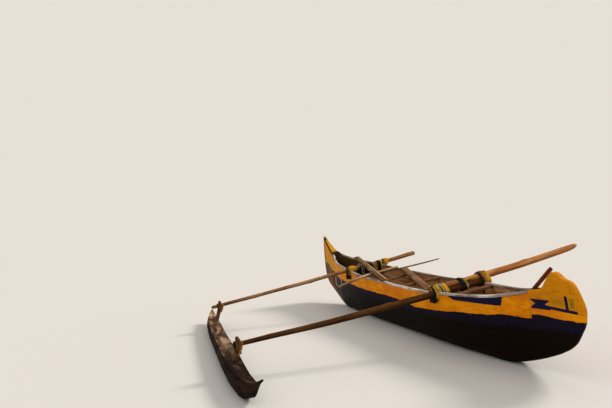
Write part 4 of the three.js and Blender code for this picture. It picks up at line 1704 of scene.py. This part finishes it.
@dataclass
class Float:
    """The float: a log pointed at both ends, with forked posts that hold the booms."""

    rows: Table = (
        (-2.297, 2.346, 0.232, 0.246, 0.004), (-2.24, 2.36, 0.2, 0.222, 0.013),
        (-2.18, 2.372, 0.152, 0.197, 0.023), (-2.1, 2.388, 0.08, 0.18, 0.036),
        (-1.98, 2.403, 0.03, 0.172, 0.052), (-1.8, 2.419, 0.004, 0.168, 0.069),
        (-1.4, 2.43, 0.0, 0.167, 0.086), (-0.7, 2.43, 0.0, 0.167, 0.094), (0.0, 2.428, 0.0, 0.167, 0.094),
        (0.7, 2.418, 0.0, 0.167, 0.09), (1.2, 2.404, 0.004, 0.168, 0.082),
        (1.55, 2.384, 0.026, 0.175, 0.06), (1.78, 2.367, 0.07, 0.184, 0.036),
        (1.9, 2.357, 0.12, 0.193, 0.017), (1.955, 2.352, 0.152, 0.198, 0.005),
    )
    posts: tuple[Post, ...] = (
        Post("fore", (1.19, 2.258, 0.566), 0.023, 2.362, (4, 2)),
        Post("aft", (-1.285, 2.345, 0.531), 0.022, 2.432, (3, 2)),
    )
    trunk: float = 0.026
    sunk: float = 0.07
    lean: float = 0.004
    prong: float = 0.018
    splay: float = 0.012
    above: float = 0.058
    tip: float = 0.015
    step: float = 0.05
    side_rows: int = 8
    across: int = 6
    edge_inset: float = 0.05
    lumps: float = 0.05
    deck_dip: float = 0.004
    deck_lumps: float = 0.0035
    full_deck: float = 0.05

    def loop(self, x: float) -> Loop:
        """Returns the float's section at x.

        Args:
            x: The place along the float.

        Returns:
            The section.
        """
        middle, bottom, top, half = (curve_at(self.rows, column, x) for column in (1, 2, 3, 4))
        bottom = max(bottom, 0.0)
        side = []
        for k in range(self.side_rows + 1):
            w = k / self.side_rows
            swell = 0.52 + 0.5 * math.sin(math.pi * (0.08 + 0.72 * w))
            if k in (0, self.side_rows):
                swell -= self.edge_inset
            if k:
                swell += self.lumps * rough(Vector((x * 2, w * 2, 0)), 1.0, 5.0)
            side.append((half * swell, blend(bottom, top, w)))
        points = [Vector((x, middle + y, z)) for y, z in side]
        shares = [k / self.across for k in range(1, self.across)]
        for share in shares:
            dip = self.deck_lumps * rough(Vector((x * 1.5, share * 2, 0)), 1.3, 8.0)
            dip = (dip - self.deck_dip * math.sin(math.pi * share)) * clamp(half / self.full_deck)
            points.append(Vector((x, middle + side[-1][0] * (1 - 2 * share), top + dip)))
        points += [Vector((x, middle - y, z)) for y, z in reversed(side)]
        points += [Vector((x, middle - side[0][0] * (1 - 2 * share), bottom)) for share in shares]
        return Loop(points, [Vector((p.x, p.y - middle, p.z)) for p in points])

    def post(self, post: Post) -> None:
        """Builds one forked post and its lashing.

        Args:
            post: The post's place and sizes.
        """
        at = GROUND.inverted() @ HULL @ Vector(post.seat)
        crotch = at.z - post.boom
        reach = post.boom + self.prong + 0.003
        trunk = (
            (at.x, post.foot, curve_at(self.rows, 3, at.x) - self.sunk, self.trunk),
            (at.x, at.y + self.lean, crotch - 0.02, self.trunk),
            (at.x, at.y, crotch - 0.004, self.trunk * 0.97),
        )
        parts = [Trunk(trunk, 5.0, 16, 0.012, 0.06, 0.003, 2, 0.004)]
        for side in (-1, 1):
            prong = (
                (at.x + side * 0.004, at.y + self.lean, crotch - 0.04, self.prong),
                (at.x + side * reach, at.y, at.z, self.prong),
                (at.x + side * (reach + self.splay), at.y - self.lean, at.z + self.above, self.tip),
            )
            parts.append(Trunk(prong, 6.0 + side, 14, 0.01, 0.06, 0.001, 1, 0.002))
        body = merged([part.body() for part in parts])
        piece(f"{post.name}_post", body, (Look.POST,), "driftwood", f"{post.name}_float_post", GROUND)
        sides = zip((-1, 1), post.laps, (Look.RUST, Look.BLACK), strict=True)
        body, looks = rope_body([ForkTurns(at, post.boom, self.trunk, self.prong, *side) for side in sides])
        node = f"{post.name}_float_lashing"
        piece(f"{post.name}_fork_rope", body, looks, "rope", node, GROUND, ROPE_CRISP)

    def build(self) -> None:
        """Builds the float and its posts."""
        places = stations(-2.297, 1.955, self.step, 0.6)
        deck = range(self.side_rows, self.side_rows + self.across)
        body = skin([self.loop(x) for x in places], lambda row, column: int(column not in deck))
        # The float's sides take the darker finish, which is painted shade.
        piece("float_hull", body, (Look.DRIFT, Look.SHADED_FLANK), "driftwood", "float_log", GROUND, 0.5)
        for post in self.posts:
            self.post(post)


# Loose gear


@dataclass
class LooseGear:
    """Boards, poles and the steering paddle that lie in the hull."""

    boards: tuple[tuple[str, Row, Row, float, float, Look], ...] = (
        ("fore_board", (-0.03, 0.28, 0.6343), (1.75, -0.085, 0.8238), 0.084, 0.018, Look.SHADED_LIT_BOARD),
        ("aft_board", (-1.0, 0.206, 0.5836), (0.565, -0.3088, 0.6574), 0.092, 0.02, Look.BAR),
    )
    light: Table = (
        (0.731, -0.3, 0.6806, 0.015), (0.64, -0.06, 0.6764, 0.017), (0.57, 0.11, 0.6735, 0.018),
        (0.5, 0.305, 0.6706, 0.018), (0.44, 0.54, 0.645, 0.017), (0.398, 0.752, 0.608, 0.013),
    )
    thin: Table = (
        (0.485, 0.225, 0.676, 0.01), (0.534, 0.0, 0.672, 0.01), (0.6, -0.3, 0.6678, 0.01),
        (0.672, -0.64, 0.669, 0.01), (0.752, -1.0, 0.676, 0.008),
    )
    paddle_top: Row = (-2.57, -0.012, 0.857)
    paddle_slope: float = 0.668
    paddle_length: float = 1.285
    shaft: float = 0.015
    blade: float = 0.4
    blade_half: float = 0.058
    blade_thick: float = 0.018
    saw_wave: float = 0.05
    saw_marks: float = 0.0012

    def board(self, start: Row, end: Row, width: float, thick: float, seed: float) -> bmesh.types.BMesh:
        """Returns a sawn board between two points of its underside.

        Args:
            start: One end of the underside.
            end: The other end.
            width: Its width.
            thick: Its thickness.
            seed: Picks its unevenness.

        Returns:
            The board.
        """
        ahead = (Vector(end) - Vector(start)).normalized()
        lift = (UP - ahead * ahead.z).normalized() * thick / 2
        route = evenly([Vector(start) + lift, Vector(end) + lift], 0.03)
        outline = slab_outline(width / 2, thick / 2, 0.003)

        def sawn(along: float, i: int) -> Offsets:
            """Returns the board's uneven outline this far along it."""
            offsets = []
            for a, b in outline:
                wave = 1 + self.saw_wave * rough(Vector((along * 3, a * 8, 0)), 1.0, seed)
                if b > 0:
                    b -= self.saw_marks * (1 + rough(Vector((along * 5, a * 20, 1)), 1.0, seed))
                offsets.append((a * wave, b))
            return offsets

        return skin(beam(route, sawn, UP), soften=0.002)

    def paddle(self) -> bmesh.types.BMesh:
        """Returns the paddle: a square-shouldered shaft and a leaf-shaped blade."""
        run, fall = math.cos(self.paddle_slope), math.sin(self.paddle_slope)
        top = Vector(self.paddle_top)
        route = evenly([top, top + Vector((run, 0, -fall)) * self.paddle_length], 0.02)
        neck = self.paddle_length - self.blade

        def section(along: float, i: int) -> Offsets:
            """Returns the paddle's outline this far along it."""
            share = clamp((along - neck) / self.blade)
            leaf = self.blade_half * math.sin(math.pi * (0.14 + 0.66 * share)) ** 0.6
            spread = ease(along, neck - 0.04, neck + 0.06)
            width = blend(self.shaft, leaf, spread)
            thick = blend(self.shaft, self.blade_thick / 2, spread)
            if i == 0:
                width, thick = width * 0.9, thick * 0.9
            return slab_outline(width, thick, min(width, thick) * 0.55)

        return skin(beam(route, section, UP), soften=0.002)

    def build(self) -> None:
        """Builds the loose gear."""
        for seed, (name, start, end, width, thick, look) in enumerate(self.boards):
            body = self.board(start, end, width, thick, seed + 0.5)
            piece(f"{name}_plank", body, (look,), "bare_wood", name)
        body = Trunk(self.light, 7.0, 16, 0.02, 0.06, 0.0, 4, 0.004).body()
        piece("light_pole_stick", body, (Look.PALE,), "pale_wood", "light_pole")
        body = Trunk(self.thin, 8.0, 12, 0.02, 0.06, 0.0, 3, 0.002).body()
        piece("thin_pole_stick", body, (Look.DARK,), "dark_wood", "thin_pole")
        piece("paddle", self.paddle(), (Look.RED,), "red_wood", "steering_paddle")


# Studio


@dataclass
class Studio:
    """The camera at the photograph's place, a plain pale floor and soft light."""

    place: Row = (-5.909, 2.435, 1.22)
    yaw: float = -0.277
    pitch: float = -0.068
    roll: float = -0.061
    lens: float = 28.47
    sensor: float = 36.0
    far: float = 300.0
    floor_half: float = 60.0
    floor_drop: float = 0.0005
    floor_colour: Colour = (0.63, 0.635, 0.648)
    sky: Colour = (1.0, 0.93, 0.84)
    sky_strength: float = 0.8

    def camera(self) -> None:
        """Sets up the camera."""
        data = bpy.data.cameras.new("camera")
        data.lens, data.sensor_width, data.clip_end = self.lens, self.sensor, self.far
        level = Vector((math.cos(self.yaw), math.sin(self.yaw), 0))
        ahead = level * math.cos(self.pitch) - UP * math.sin(self.pitch)
        right = Vector((level.y, -level.x, 0))
        up = right.cross(ahead)
        turned = right * math.cos(self.roll) + up * math.sin(self.roll)
        raised = up * math.cos(self.roll) - right * math.sin(self.roll)
        axes = Matrix((turned, raised, -ahead)).transposed()
        obj = stand("camera", data)
        obj.matrix_world = Matrix.Translation(self.place) @ axes.to_4x4()
        bpy.context.scene.camera = obj

    def light(self, name: str, toward: Row, spread: float, strength: float, colour: Colour) -> None:
        """Adds a soft light that falls evenly on the whole floor.

        Args:
            name: The light's name.
            toward: The direction from the canoe to the light.
            spread: How wide the light looks, in radians.
            strength: Its strength.
            colour: Its colour.
        """
        data = bpy.data.lights.new(name, "SUN")
        data.angle, data.energy, data.color = spread, strength, colour
        stand(name, data).rotation_euler = Vector(toward).to_track_quat("Z", "Y").to_euler()

    def floor(self) -> None:
        """Adds the floor."""
        body = bmesh.new()
        bmesh.ops.create_grid(body, x_segments=1, y_segments=1, size=self.floor_half)
        mesh = mesh_of("floor", body)
        material = bpy.data.materials.new("floor")
        material.use_nodes = True
        shader = material.node_tree.nodes["Principled BSDF"]
        shader.inputs["Base Color"].default_value = (*self.floor_colour, 1)
        shader.inputs["Roughness"].default_value = 0.95
        shader.inputs["Specular IOR Level"].default_value = 0.0
        mesh.materials.append(material)
        obj = stand("floor", mesh)
        obj.location.z = -self.floor_drop

    def build(self) -> None:
        """Sets up the whole studio."""
        self.camera()
        self.floor()
        world = bpy.data.worlds.new("studio")
        world.use_nodes = True
        background = world.node_tree.nodes["Background"]
        background.inputs["Color"].default_value = (*self.sky, 1)
        background.inputs["Strength"].default_value = self.sky_strength
        bpy.context.scene.world = world
        bpy.context.scene.view_settings.view_transform = "Standard"
        self.light("key", (0.12, -0.80, 0.60), 0.3, 2.5, (1.0, 0.90, 0.76))


def main() -> None:
    """Builds the studio and the canoe, piece by piece."""
    logging.basicConfig(level=logging.INFO, format="%(name)s: %(message)s")
    booms = Booms()
    for part in (
        Studio(), HangingLoop(), Dugout(), SidePlanks(), EndBlocks(), Rails(), Crosspieces(), booms,
        Lashings(booms), Float(), LooseGear(),
    ):
        part.build()


if __name__ == "__main__":
    main()
